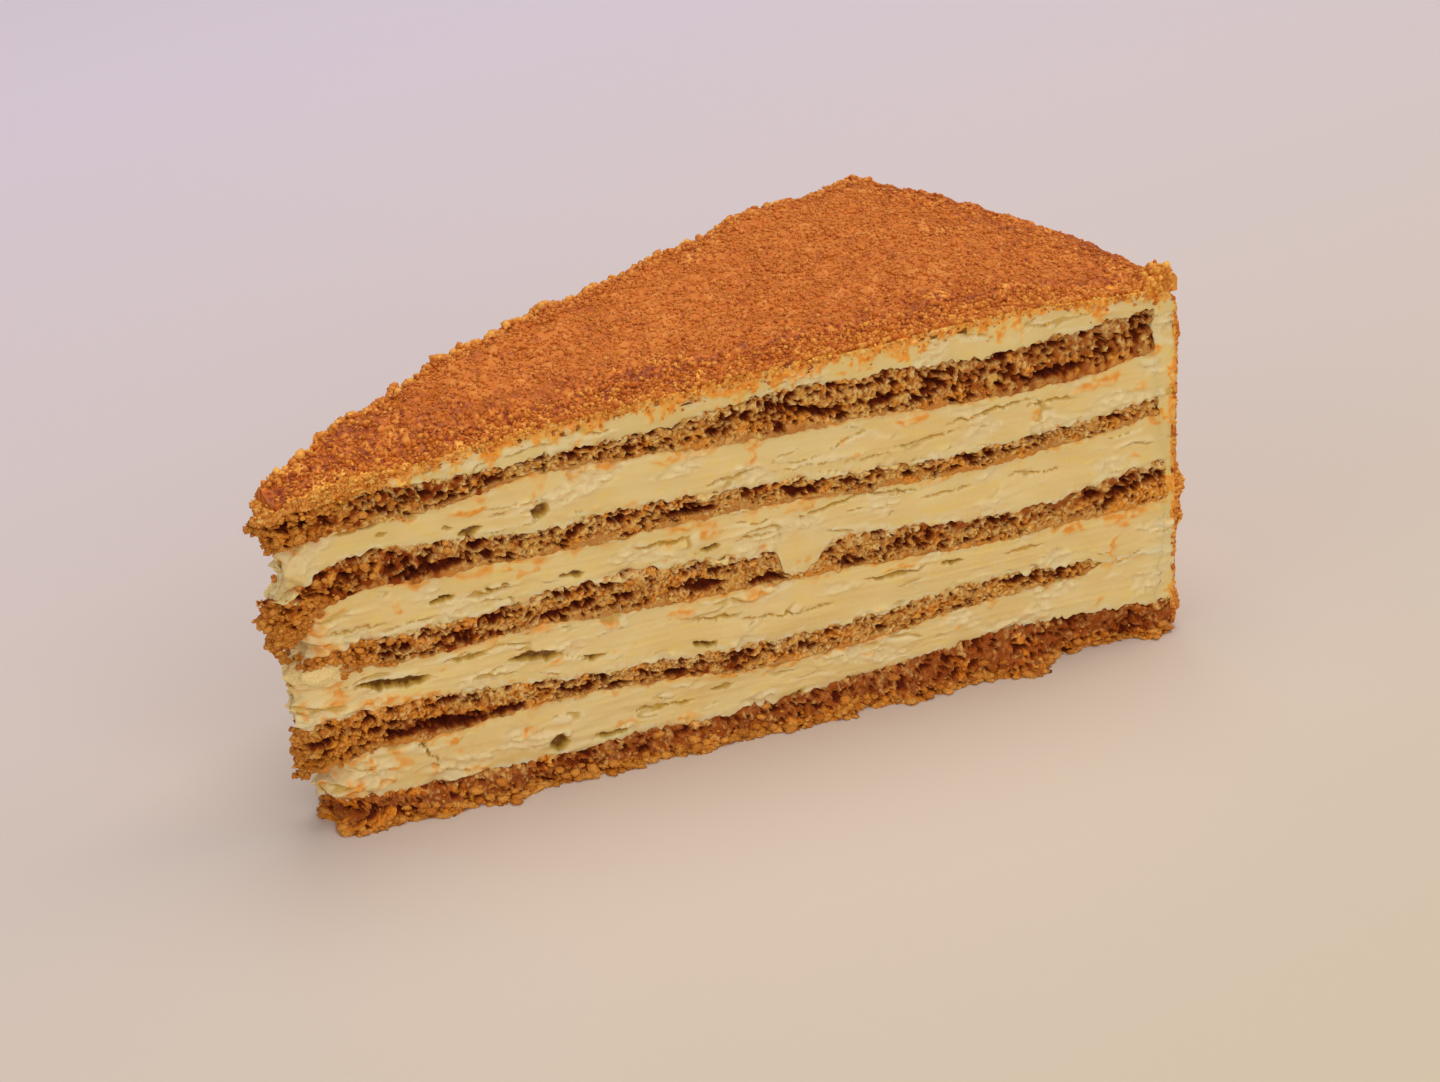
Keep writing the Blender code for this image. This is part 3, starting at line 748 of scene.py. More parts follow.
@dataclass(frozen=True)
class SpongeCrumb(CutFace):
    """Broken face of a honey sponge: lumps, torn pores and a smooth syrup band along its foot."""

    openness: float = 0.34
    pore_depth: float = 1.3
    syrup_band: float = 0.08
    honey: float = 0.0
    lump: float = 0.72
    lump_height: float = 0.42

    def pores(
        self, spots: Numbers, size: Place, number: int, limit: Numbers, full: float, edge: float
    ) -> Numbers:
        """Hollows in some of a cloud of cells, from 0 outside them to 1 inside.

        Args:
            spots: the points, already stirred.
            size: size of a cell.
            number: chooses the cloud.
            limit: a cell is shut where its own number is under this.
            full: how far above the limit it is fully open.
            edge: distance from the middle of a cell at which its sunken part begins.

        Returns:
            The hollows at the points.
        """
        near, _, owner = cells(spots / size, self.seed + number)
        return step_between(limit, limit + full, owner) * step_between(edge, 0.4, near)

    def tones(self, spots: Numbers, share: Numbers, front: Numbers, tip: Numbers) -> Tones:
        """Relief and tones of a cut, as CutFace says.

        Args:
            spots: radius, side and height of its points.
            share: their shares of the way up the layer.
            front: 1 on the front cut.
            tip: 1 at the tip.

        Returns:
            The tones of the points.
        """
        stir = self.stir(spots, 1.1)
        stirred = spots + 0.55 * stir
        either = np.maximum(front, tip)
        band_top = self.syrup_band * (1 + 2.2 * self.wave(spots, (5, 5, 30), 12))
        band = step_between(0.08, -0.05, share - band_top + 0.2 * stir[..., 0])
        lumps, next_lump, owner = cells(stirred / self.lump, self.seed + 6)
        clefts = step_between(0.13, 0.02, next_lump - lumps + 0.14 * stir[..., 0]) * (1 - band)

        limit = 1 - self.openness - 0.6 * self.wave(spots, (5.0, 5.0, 1.8), 5) + 0.5 * band
        pores = self.pores(stirred, (1.7, 1.7, 0.95), 7, limit, 0.04, 0.52)
        small = self.pores(stirred, (0.85, 0.85, 0.6), 8, limit - 0.1, 0.06, 0.54)
        gaps = covered(SPONGE_GAPS, spots + (1.1, 0, 0.5) * stir) * front
        gaps = gaps * (1 - 0.75 * step_between(0.42, 0.6, owner) * step_between(0.55, 0.35, lumps))
        blobs = covered(CREAM_BLOBS, spots + 0.8 * stir) * either
        soaked = covered(SOAKED, spots + 1.2 * stir) * front
        amber = covered(AMBER, spots + 1.4 * stir) * either

        smooth = 0.5 * np.maximum(band, amber)
        bumps = (
            self.lump_height * (1 + 0.6 * tip) * (0.5 - lumps) + 0.15 * self.wave(stirred, 0.45, 9)
        )
        bumps = bumps * (1 - smooth)
        open_part = self.pore_depth * np.maximum(pores, 0.6 * small) + 0.8 * gaps + 0.2 * clefts
        bulge = 1.1 + 0.5 * self.wave(spots, 1.2, 15)
        swell = 0.25 * layered_noise(spots / (6.0, 6.0, 3.5), self.seed + 4, 2)
        relief = swell + bumps * (1 - blobs) - open_part * (1 - blobs) + bulge * blobs
        crust = 0.62 * soaked * step_between(0.25, -0.25, stir[..., 1])
        # Pores, gaps and clefts are darkened in colour as well as sunk: painted shade. The crust is
        # the soaked sponge's own darker colour, kept in the same tone.
        shade_and_soak = np.maximum.reduce([pores, 0.8 * small, np.clip(gaps, 0, 1), crust, 0.5 * clefts])

        honey = self.honey * (2.6 * step_between(0.42, 0.1, share + 0.3 * stir[..., 2]) - 0.7)
        patch = self.wave(spots, (4.5, 4.5, 2), 10) + honey
        blush = step_between(0.1, 0.36, patch + 0.4 * tip + 0.9 * amber + 0.2 * (owner - 0.5))
        top_edge = step_between(0.6, 1.0, share + 0.4 * stir[..., 1])
        top_edge = top_edge * step_between(-0.15, 0.25, stir[..., 2])
        # Painted glints: specks of painted highlight, kept in the pale tone with the cream specks.
        glints = 0.6 * step_between(0.2, 0.34, self.wave(stirred, 0.5, 14)) * (1 - band) * (1 - tip)
        pale = np.maximum.reduce([0.85 * top_edge * (1 - tip), glints, blobs])
        return Tones(
            relief, shade_and_soak * (1 - blobs), band * (1 - pores), blush * (1 - 0.7 * blobs), pale
        )


@dataclass(frozen=True)
class CreamFace(CutFace):
    """Cut face of the cream: soft swells, the knife's drag lines, cracks and smears."""

    seed: int = 300
    tip_zone: tuple[float, float] = (7.0, 0.5)

    def tones(self, spots: Numbers, share: Numbers, front: Numbers, tip: Numbers) -> Tones:
        """Relief and tones of a cut, as CutFace says.

        Args:
            spots: radius, side and height of its points.
            share: their shares of the way up the layer.
            front: 1 on the front cut.
            tip: 1 at the tip.

        Returns:
            The tones of the points.
        """
        stir = self.stir(spots, (2.2, 2.2, 1.1))
        stirred = spots + (0.5, 0.5, 0.35) * stir
        some = step_between(-0.1, 0.2, stir[..., 2])
        zone = step_between(-0.06, 0.14, self.wave(spots, (16, 16, 5), 6) + 0.3 * tip)
        lines = self.wave(stirred, (9, 9, 1.9), 7)
        broken = step_between(-0.12, 0.1, self.wave(spots, (4.5, 4.5, 1.4), 14))
        cracks = zone * broken * step_between(0.075, 0.02, np.abs(lines))
        lips = zone * broken * step_between(0.3, 0.12, np.abs(lines + 0.12))
        fat = broken * step_between(0.45, 0.15, np.abs(lines))
        fat = fat * step_between(-0.05, 0.25, stir[..., 2])
        torn = step_between(0.12, 0.42, self.wave(spots, (8, 8, 3.5), 9) + 0.5 * tip)
        rough = layered_noise(stirred / (1.7, 1.7, 0.8), self.seed + 10, 2)
        flakes = np.abs(self.wave(stirred, (4.5, 4.5, 0.9), 8))
        frayed = stirred + (0.5, 0, 0.3) * self.wave(spots, (0.9, 0.9, 0.5), 17)[..., None]
        gaps = covered(CREAM_GAPS, frayed) * front
        smears = covered(SMEARS, spots + (1.1, 0, 0.7) * stir) * front
        swell = layered_noise(spots / (12, 12, 5), self.seed + 4, 2)
        drag = self.wave(spots, (9, 9, 0.5), 5)
        relief = (
            0.3 * swell + 0.08 * drag - 0.2 * zone * flakes + 0.7 * torn * rough + 0.18 * lips
            - 0.5 * cracks - 0.8 * gaps + smears * (0.15 + 0.25 * self.wave(spots, 0.7, 18))
        )
        # Painted shade: cracks and holes are darkened in colour as well as sunk.
        shade_and_soak = np.maximum(cracks * 0.44, np.clip(0.75 * gaps, 0, 1))

        border = np.maximum(step_between(0.2, 0.02, share), step_between(0.8, 0.98, share))
        specks = step_between(0.12, 0.24, self.wave(stirred, 0.7, 15)) * border
        speckle = step_between(0.26, 0.42, self.wave(stirred, (1.5, 1.5, 1.1), 12))
        dragged = step_between(0.3, 0.5, self.wave(spots, (6, 6, 2), 13) + 0.75 * tip)
        drip = 0.35 + 2.6 * step_between(0.05, 0.5, self.wave(spots, (3.2, 3.2, 40), 16))
        below = (1 - share) * 8.5 + 0.5 * stir[..., 1]
        drips = step_between(1.0, 0.45, below / drip) * (0.7 + 0.7 * stir[..., 0])
        dabs = step_between(-0.28, 0.3, self.wave(stirred, (1.0, 1.0, 0.7), 19))
        scattered = 0.7 * specks * step_between(-0.2, 0.2, stir[..., 2])
        stain = np.maximum.reduce(
            [smears * (0.5 + 0.6 * dabs), 0.8 * speckle * dragged, drips, scattered]
        )
        pale = step_between(0.16, 0.03, share + 0.1 * stir[..., 0]) * some
        return Tones(relief, shade_and_soak, fat, stain, np.maximum.reduce([pale, 0.6 * torn, 0.7 * lips]))


@dataclass
class Layer:
    """A flat layer between two shared surfaces, from the tip to the wall inside the rim's cream."""

    name: str
    under: int
    top: int
    start: float
    end: float | None
    face: CutFace
    overlap: float = 0.0
    spacing: float = 0.22
    flared: bool = False
    rows: int = 14
    least_levels: int = 27
    measured_at: float = 70.0
    wall_at: float = 126.0
    corner: float = 0.9

    def heights(self, radius: Numbers, across: Numbers, share: Numbers) -> Numbers:
        """Heights of points of the layer.

        Args:
            radius: radii of the points.
            across: their shares of the way across.
            share: their shares of the way up the layer.

        Returns:
            One height for each point.
        """
        low = FORM.surface(self.under, radius, across) - (self.overlap if self.under else 0)
        high = FORM.surface(self.top, radius, across) + self.overlap
        return low + (high - low) * share

    def build(self) -> bpy.types.Object:
        """Makes the layer's closed mesh, with relief on its two cuts, its tip and its outer end.

        Returns:
            The finished object, without its material.
        """
        length = (self.end or self.wall_at) - self.start
        there = np.array([self.measured_at])
        low, high = (FORM.plain_surface(number, there, 0.0)[0] for number in (self.under, self.top))
        levels = max(self.least_levels, round(float(high - low) / self.spacing))
        piece = lattice_box(self.name, round(length / self.spacing), self.rows, levels)
        u, v, w = unit_points(piece).T
        across = close_rows(v)
        radius = self.start + length * u
        if self.end is None:
            height = self.heights(radius, across, w)
            wall = FORM.wall_radius(FORM.layer_wall, height) + FORM.end_rag(across, height)
            radius = self.start + (wall + 0.05 - self.start) * u
        height = self.heights(radius, across, w)

        back = np.where(across > 0.5, 1.0, 0.0)
        spots = FORM.spots(radius, back, self.heights(radius, back, w))
        cut = self.face.tones(
            spots, w, 1 - back, step_between(*self.face.tip_zone, radius - self.start)
        )
        depth = cut.relief - self.corner * np.exp(-(radius - self.start) / ROUND)
        if self.flared:
            depth = depth + foot_flare(radius, w, back)
        none = np.zeros(len(u))
        tip_spots = FORM.spots(none + self.start, across, height)
        tip = self.face.tones(tip_spots, w, none, none + 1)
        to_edge = np.minimum(*FORM.from_cuts(self.start, across))
        ragged = 1.3 * layered_noise(tip_spots / 2.7, Seed.TIP)
        reach = (
            0.8 * tip.relief + ragged - self.corner * np.exp(-to_edge / ROUND) + tip_reach(height)
        )
        points = pushed(radius, across, height, self.start, depth, reach)
        if self.end is not None:
            rim = self.face.tones(FORM.spots(none + self.end, across, height), w, none, none)
            push = np.minimum(rim.relief, 0.3) * np.clip(1 - (self.end - radius) / 5, 0, 1)
            points = points + FORM.away(across) * push[:, None]
        points[:, 2] = np.maximum(points[:, 2], 0)
        set_points(piece, points)
        set_values(piece, **cut.mixed(tip, (u < 1e-4).astype(float)))
        return piece


@dataclass
class CreamCoat:
    """The coat of cream over the top and down the rim, as one bent slab."""

    name: str = "cream_coat_cut"
    start: float = 7.2
    spacing: float = 0.23
    rows: int = 14
    levels: int = 16
    foot: float = 0.3
    under: int = 9
    sunk: float = 0.1
    raised: float = 0.2
    corner: float = 0.7
    face: CreamFace = field(default_factory=CreamFace)

    def outline(
        self, along: Numbers, down: Numbers, across: Numbers, number: int, wall: Outline,
        grow: float
    ) -> Numbers:
        """One side of the slab, along the top and then down the rim.

        Args:
            along: shares of the way along the top.
            down: shares of the way down the rim, above 0 on the rim alone.
            across: shares of the way across.
            number: the surface that the side follows on the top.
            wall: the outline that it follows on the rim.
            grow: how far it stands above the surface.

        Returns:
            Radii and heights.
        """
        radius = self.start + (wall[0][0] - self.start) * along
        height = FORM.surface(number, radius, across) + grow
        wall_radius, wall_height = along_path(wall, down)
        corner = FORM.surface(number, np.full(len(along), wall[0][0]), across) + grow
        drop = (wall[0][1] - wall_height) / (wall[0][1] - wall[-1][1])
        side_height = corner + (FORM.surface(1, wall_radius, across) - self.foot - corner) * drop
        if wall is FORM.layer_wall:
            wall_radius = wall_radius + FORM.end_rag(across, side_height) * np.clip(down * 12, 0, 1)
        on_side = down > 0
        return np.stack(
            [np.where(on_side, wall_radius, radius), np.where(on_side, side_height, height)]
        )

    def build(self) -> bpy.types.Object:
        """Makes the coat's closed mesh, with crumbs dragged over the top of its cuts.

        Returns:
            The finished object, without its material.
        """
        top_length = FORM.rim_wall[0][0] - self.start
        length = top_length + FORM.rim_wall[0][1] - FORM.rim_wall[-1][1]
        bend = top_length / length
        piece = lattice_box(self.name, round(length / self.spacing), self.rows, self.levels)
        u, v, w = unit_points(piece).T
        across = close_rows(v)
        back = np.where(across > 0.5, 1.0, 0.0)
        along, down = np.clip(u / bend, 0, 1), np.clip((u - bend) / (1 - bend), 0, 1)

        def slab(on: Numbers) -> Numbers:
            """Places of the vertices on one side of the wedge, or as they lie.

            Args:
                on: their shares of the way across.

            Returns:
                Their radii and their heights.
            """
            inner = self.outline(along, down, on, self.under, FORM.layer_wall, -self.sunk)
            outer = self.outline(along, down, on, FORM.coat_top, FORM.rim_wall, self.raised)
            return inner + (outer - inner) * w

        radius, height = slab(across)
        cut_radius, cut_height = slab(back)
        spots = FORM.spots(cut_radius, back, cut_height)
        near_tip = step_between(*self.face.tip_zone, radius - self.start)
        cut = self.face.tones(spots, np.full(len(u), 0.5), 1 - back, near_tip)
        below = self.under_edge(cut_radius, cut_height, back)
        spilled = self.spill(spots, below, cut_radius, cut_height)
        whole = step_between(1.5, 0.4, below)
        relief = cut.relief + whole * (np.maximum(cut.relief, -0.1) - cut.relief)
        rounding = self.corner * np.exp(-(radius - self.start) / ROUND)
        depth = relief - rounding + spilled * (0.16 + 0.3 * noise(spots / 0.7, Seed.SPILL_LUMPS))
        none = np.zeros(len(u))
        tip_spots = FORM.spots(none + self.start, across, height)
        tip = self.face.tones(tip_spots, w, none, none + 1)
        reach = (
            0.8 * tip.relief + 0.9 * layered_noise(tip_spots / 2.7, Seed.TIP)
            + 0.6 * tip_reach(height)
        )
        set_points(piece, pushed(radius, across, height, self.start, depth, reach))

        tones = cut.mixed(tip, (u < 1e-4).astype(float))
        tones["shade_and_soak"] = tones["shade_and_soak"] * (1 - whole)
        strewn = 0.95 + 0.75 * noise(spots / 0.42, Seed.SPILL_TINT)
        strewn = strewn + 0.5 * noise(spots / (1.3, 1.3, 2.0), Seed.SPILL_PATCHES)
        tones["stain"] = np.maximum(tones["stain"], spilled * strewn)
        set_values(piece, **tones)
        return piece

    def under_edge(self, radius: Numbers, height: Numbers, across: Numbers) -> Numbers:
        """How far points of a cut lie under the coat's top."""
        return FORM.surface(FORM.coat_top, np.minimum(radius, FORM.rim_wall[0][0]), across) - height

    def spill(self, spots: Numbers, below: Numbers, radius: Numbers, height: Numbers) -> Numbers:
        """How far fine crumbs that fell from the edge cover the cream of a cut.

        Args:
            spots: radius, side and height of the points on the cut.
            below: how far they lie under the coat's top.
            radius: their radii.
            height: their heights.

        Returns:
            1 where crumbs cover the cream, and 0 where it is clean.
        """
        inward = np.where(height < 46, FORM.wall_radius(FORM.rim_wall, height) - radius, 9)
        below = np.minimum(below, inward * 2.5)
        wander = noise(spots / (4.0, 4.0, 9.0), Seed.SPILL_REACH)
        reach = 1.0 + 2.0 * step_between(-0.25, 0.4, wander) + 6.0 * step_between(24, 13, radius)
        streaks = noise(spots / (1.2, 1.2, 3.0), Seed.SPILL_STREAKS)
        streaks = streaks + 0.5 * noise(spots / 0.6, Seed.SPILL_SPECKS)
        near_edge = 1 - below / reach
        covering = step_between(0.0, 0.2, 0.5 * near_edge + 0.6 * streaks)
        return covering * step_between(-1.2, 0.0, near_edge)


@dataclass
class CrumbBed:
    """The bed of packed crumbs on the top and the rim, as two closed slabs with a grainy relief."""

    thickness: float = 2.1
    front_edge: float = 0.45
    back_edge: float = 1.0
    least: float = 0.12
    bedded: float = 0.5
    spacing: float = 0.27
    grid: tuple[float, float] = (128.0, 66.0)
    start: float = 7.0
    rim_radius: float = 128.3
    rim_cuts: int = 25
    rim_thickness: float = 1.15
    rim_height: float = 48.0
    rim_bedded: float = 0.35
    rim_chunks: tuple[Place, ...] = ((20.5, 1.5, 2.6), (16, 1.2, 1.6), (3.2, 0.9, 1.8))
    corner: tuple[float, float] = (126.8, 0.03)
    corner_lump: float = 1.9
    seed: int = 700

    def grainy(self, spots: Numbers) -> tuple[Numbers, Numbers, Numbers]:
        """Relief of packed grains.

        Args:
            spots: points on the bed.

        Returns:
            Heights of the grains, the heaps from about -0.7 to 0.7, and a number from 0 to 1 for
            each grain.
        """
        near, _, owner = cells(spots / 0.72, self.seed)
        small, _, _ = cells(spots / 0.42, self.seed + 1)
        heaps = layered_noise(spots / 5.5, self.seed + 2)
        lumps = noise(spots / 1.9, self.seed + 3)
        relief = 0.24 * (0.55 - near) + 0.12 * (0.5 - small) + 0.16 * (owner - 0.5) + 0.34 * lumps
        return relief, heaps, owner

    def top_height(self, x: Numbers, y: Numbers) -> tuple[Numbers, Numbers]:
        """Height of the bed on the cake's top.

        Args:
            x: x of the points.
            y: y of the points.

        Returns:
            Their heights, and a number from 0 to 1 for the grain that each lies on.
        """
        radius, across = FORM.polar(x, y)
        across = np.clip(across, 0, 1)
        base = FORM.plain_surface(FORM.coat_top, radius, across)
        from_front, from_back = FORM.from_cuts(radius, across)
        front = (
            self.front_edge
            + (self.thickness - self.front_edge) * step_between(-0.5, 5.5, from_front)
        )
        behind = (
            self.back_edge
            + (self.thickness - self.back_edge) * step_between(-0.5, 2.5, from_back)
        )
        from_rim = np.clip(1 - (self.rim_radius + 0.6 - radius) / 2.6, 0, 1)
        shoulder = 1.2 * (1 - np.sqrt(np.clip(1 - from_rim**2, 0, 1)))
        shoulder = (
            shoulder + 1.35 * step_between(106, 127, radius) * step_between(0.0, 4.0, from_front)
        )
        lump_x, lump_y, _ = FORM.place(*np.array(self.corner), np.array(0.0))
        lump = self.corner_lump * np.exp(-((((x - lump_x) ** 2 + (y - lump_y) ** 2) / 8.0) ** 1.2))
        lump = lump * (1 + 0.8 * noise(np.stack([x, y, x * 0], -1) / 0.9, self.seed + 11))
        relief, heaps, owner = self.grainy(np.stack([x, y, 0.4 * base], -1))
        near_cut = step_between(9, 2, np.minimum(from_front, from_back))
        rough = 0.5 + 0.45 * near_cut + 0.3 * step_between(60, 15, radius)
        relief = relief * (1 + 1.2 * step_between(2.5, 0.5, from_back)) + rough * heaps
        damp = 0.35 + 0.65 * step_between(0, 2.5, from_front)
        height = base + np.minimum(front, behind) - shoulder + lump + relief * damp
        return np.maximum(height, base - shoulder + self.least), owner

    def rim_reach(self, across: Numbers, height: Numbers) -> tuple[Numbers, Numbers]:
        """Radius of the bed on the rim.

        Args:
            across: shares of the way across.
            height: heights of the points.

        Returns:
            Their radii, and a number from 0 to 1 for the grain that each lies on.
        """
        wall = FORM.wall_radius(FORM.rim_wall, height)
        relief, heaps, owner = self.grainy(FORM.spots(wall, across, height) * (0.3, 1, 1) + 50)
        from_front, from_back = FORM.from_cuts(wall, across)
        full = self.rim_thickness + self.rim_bedded
        thickness = (
            full * step_between(0.0, 6.0, np.minimum(from_front, from_back)) - self.rim_bedded
        )
        chunks = sum(
            size * np.exp(-(((height - middle) / spread) ** 2) - (from_front / 2.2) ** 2)
            for middle, size, spread in self.rim_chunks
        )
        return wall + np.maximum(thickness + 0.9 * relief + 0.7 * heaps, 0.04) + chunks, owner

    def build_top(self) -> bpy.types.Object:
        """Cuts a grid to the wedge's outline, gives it the bed's relief and closes it underneath.

        Returns:
            The finished object, without its material.
        """
        columns, rows = (round(side / self.spacing) for side in self.grid)
        bpy.ops.mesh.primitive_grid_add(x_subdivisions=columns, y_subdivisions=rows, size=1)
        piece = bpy.context.object
        piece.name = piece.data.name = "crumb_top"
        piece.scale = (*self.grid, 1)
        bpy.ops.object.transform_apply(location=False, rotation=False, scale=True)
        choose_only(piece)
        bpy.ops.object.mode_set(mode="EDIT")
        axis = (-FORM.axis[0], -FORM.axis[1], 0)
        planes = [(axis, FORM.outward(np.array(side))) for side in (0.0, 1.0)]
        for across in np.linspace(0, 1, self.rim_cuts):
            planes.append((FORM.place(self.rim_radius, across, 0.0), FORM.away(np.array(across))))
        planes.append((FORM.place(self.start, 0.5, 0.0), np.array((-1.0, 0, 0))))
        for spot, facing in planes:
            bpy.ops.mesh.select_all(action="SELECT")
            bpy.ops.mesh.bisect(
                plane_co=tuple(map(float, spot)), plane_no=tuple(map(float, facing)),
                clear_outer=True
            )
        bpy.ops.mesh.select_all(action="SELECT")
        bpy.ops.mesh.region_to_loop()
        bpy.ops.mesh.extrude_edges_move(TRANSFORM_OT_translate={"value": (0, 0, -1)})
        bpy.ops.mesh.edge_face_add()
        bpy.ops.mesh.select_all(action="SELECT")
        bpy.ops.mesh.normals_make_consistent(inside=False)
        bpy.ops.object.mode_set(mode="OBJECT")
        x, y, level = unit_points(piece).T
        height, owner = self.top_height(x, y)
        radius, across = FORM.polar(x, y)
        foot = FORM.plain_surface(FORM.coat_top, radius, np.clip(across, 0, 1)) - self.bedded
        return self.finished(
            piece, np.stack([x, y, np.where(level < -0.5, foot, height)], -1), owner
        )

    def build_rim(self) -> bpy.types.Object:
        """Bends a lattice round the rim and gives its outer side the bed's relief.

        Returns:
            The finished object, without its material.
        """
        spacing = 1.25 * self.spacing
        rows, levels = (
            round(side / spacing) for side in (FORM.angle * self.rim_radius, self.rim_height)
        )
        piece = lattice_box("crumb_rim", 1, rows, levels)
        u, v, w = unit_points(piece).T
        spots = np.stack([v * 60, w * 0, w * 0], -1)
        foot = 0.7 + 0.9 * noise(spots / 3, self.seed + 5) + 0.5 * noise(spots / 1.1, self.seed + 6)
        head = FORM.plain_surface(FORM.coat_top, np.full(len(u), 126.5), v) + 0.1
        height = np.maximum(foot, 0.05) + (head - foot) * w
        outer, owner = self.rim_reach(v, height)
        inner = FORM.wall_radius(FORM.rim_wall, height) - self.rim_bedded
        turned_in = 1.2 * step_between(head - 0.6, head, height)
        return self.finished(
            piece, FORM.place(np.where(u > 0.5, outer, inner) - turned_in, v, height), owner
        )

    def finished(
        self, piece: bpy.types.Object, points: Numbers, owner: Numbers
    ) -> bpy.types.Object:
        """Moves a slab's vertices, and keeps each grain's shade and its nearness to an edge.

        Args:
            piece: the slab's object.
            points: places of its vertices.
            owner: the number of the grain that each lies on.

        Returns:
            The same object.
        """
        set_points(piece, points)
        edge = self.edge_tone(points)
        near, _, small_owner = cells(points / 0.5, self.seed + 8)
        rare = 0.86 - 0.1 * edge
        # The first term is real dark specks; the second is painted shade in the gaps between
        # grains.
        specks = step_between(rare, rare + 0.07, small_owner) + 0.3 * step_between(0.5, 0.75, near)
        patches = layered_noise(points / 4.2, self.seed + 10, 2)
        varied = 0.16 * (owner - 0.5) + 0.2 * noise(points / 1.1, self.seed + 6)
        varied = varied - 0.45 * specks + 0.28 * patches
        from_cut = np.minimum(*FORM.from_cuts(*FORM.polar(points[:, 0], points[:, 1])))
        fringe = step_between(1.5, 0.2, from_cut + 1.6 * noise(points / 1.6, self.seed + 9))
        set_values(piece, shade=0.5 + varied * (1 + 0.8 * edge) + 0.34 * fringe, edge=edge)
        return piece

    def edge_tone(self, points: Numbers) -> Numbers:
        """How near points are to an edge, where the crumbs are darker and more orange.

        Args:
            points: places in the slice's own frame.

        Returns:
            1 at an edge and 0 away from it.
        """
        radius, across = FORM.polar(points[:, 0], points[:, 1])
        front, behind = FORM.from_cuts(radius, np.clip(across, 0, 1))
        drift = 3.5 * noise(points / 6, self.seed + 7)
        near_front = step_between(9.5, 1.5, front + 1.3 * drift)
        near_back = step_between(6, 1.0, behind + drift)
        near_tip = step_between(52, 14, radius + 3 * drift)
        near_rim = step_between(112, 128, radius + 2 * drift)
        return np.maximum.reduce([near_front, 0.6 * near_back, 0.85 * near_tip, 0.7 * near_rim])


class GrainKind(Enum):
    """Kinds of loose crumb, each made as one piece."""

    FINE = "crumbs_fine"
    COARSE = "crumbs_coarse"
    DARK = "crumbs_dark"
    RIM = "crumbs_rim"
    SPILLED = "crumbs_spilled"
    FOOT = "crumbs_foot"
    TIP = "crumbs_tip"
    EDGE = "crumbs_edge"


@dataclass(frozen=True)
class GrainHeap:
    """How many crumbs of a kind there are, how large they are and how they are shaded."""

    kind: GrainKind
    count: int
    smallest: float
    largest: float
    shade: tuple[float, float]
    seed: int
    edge_share: float = 0.15
    small: bool = False
    flatness: float = 0.8


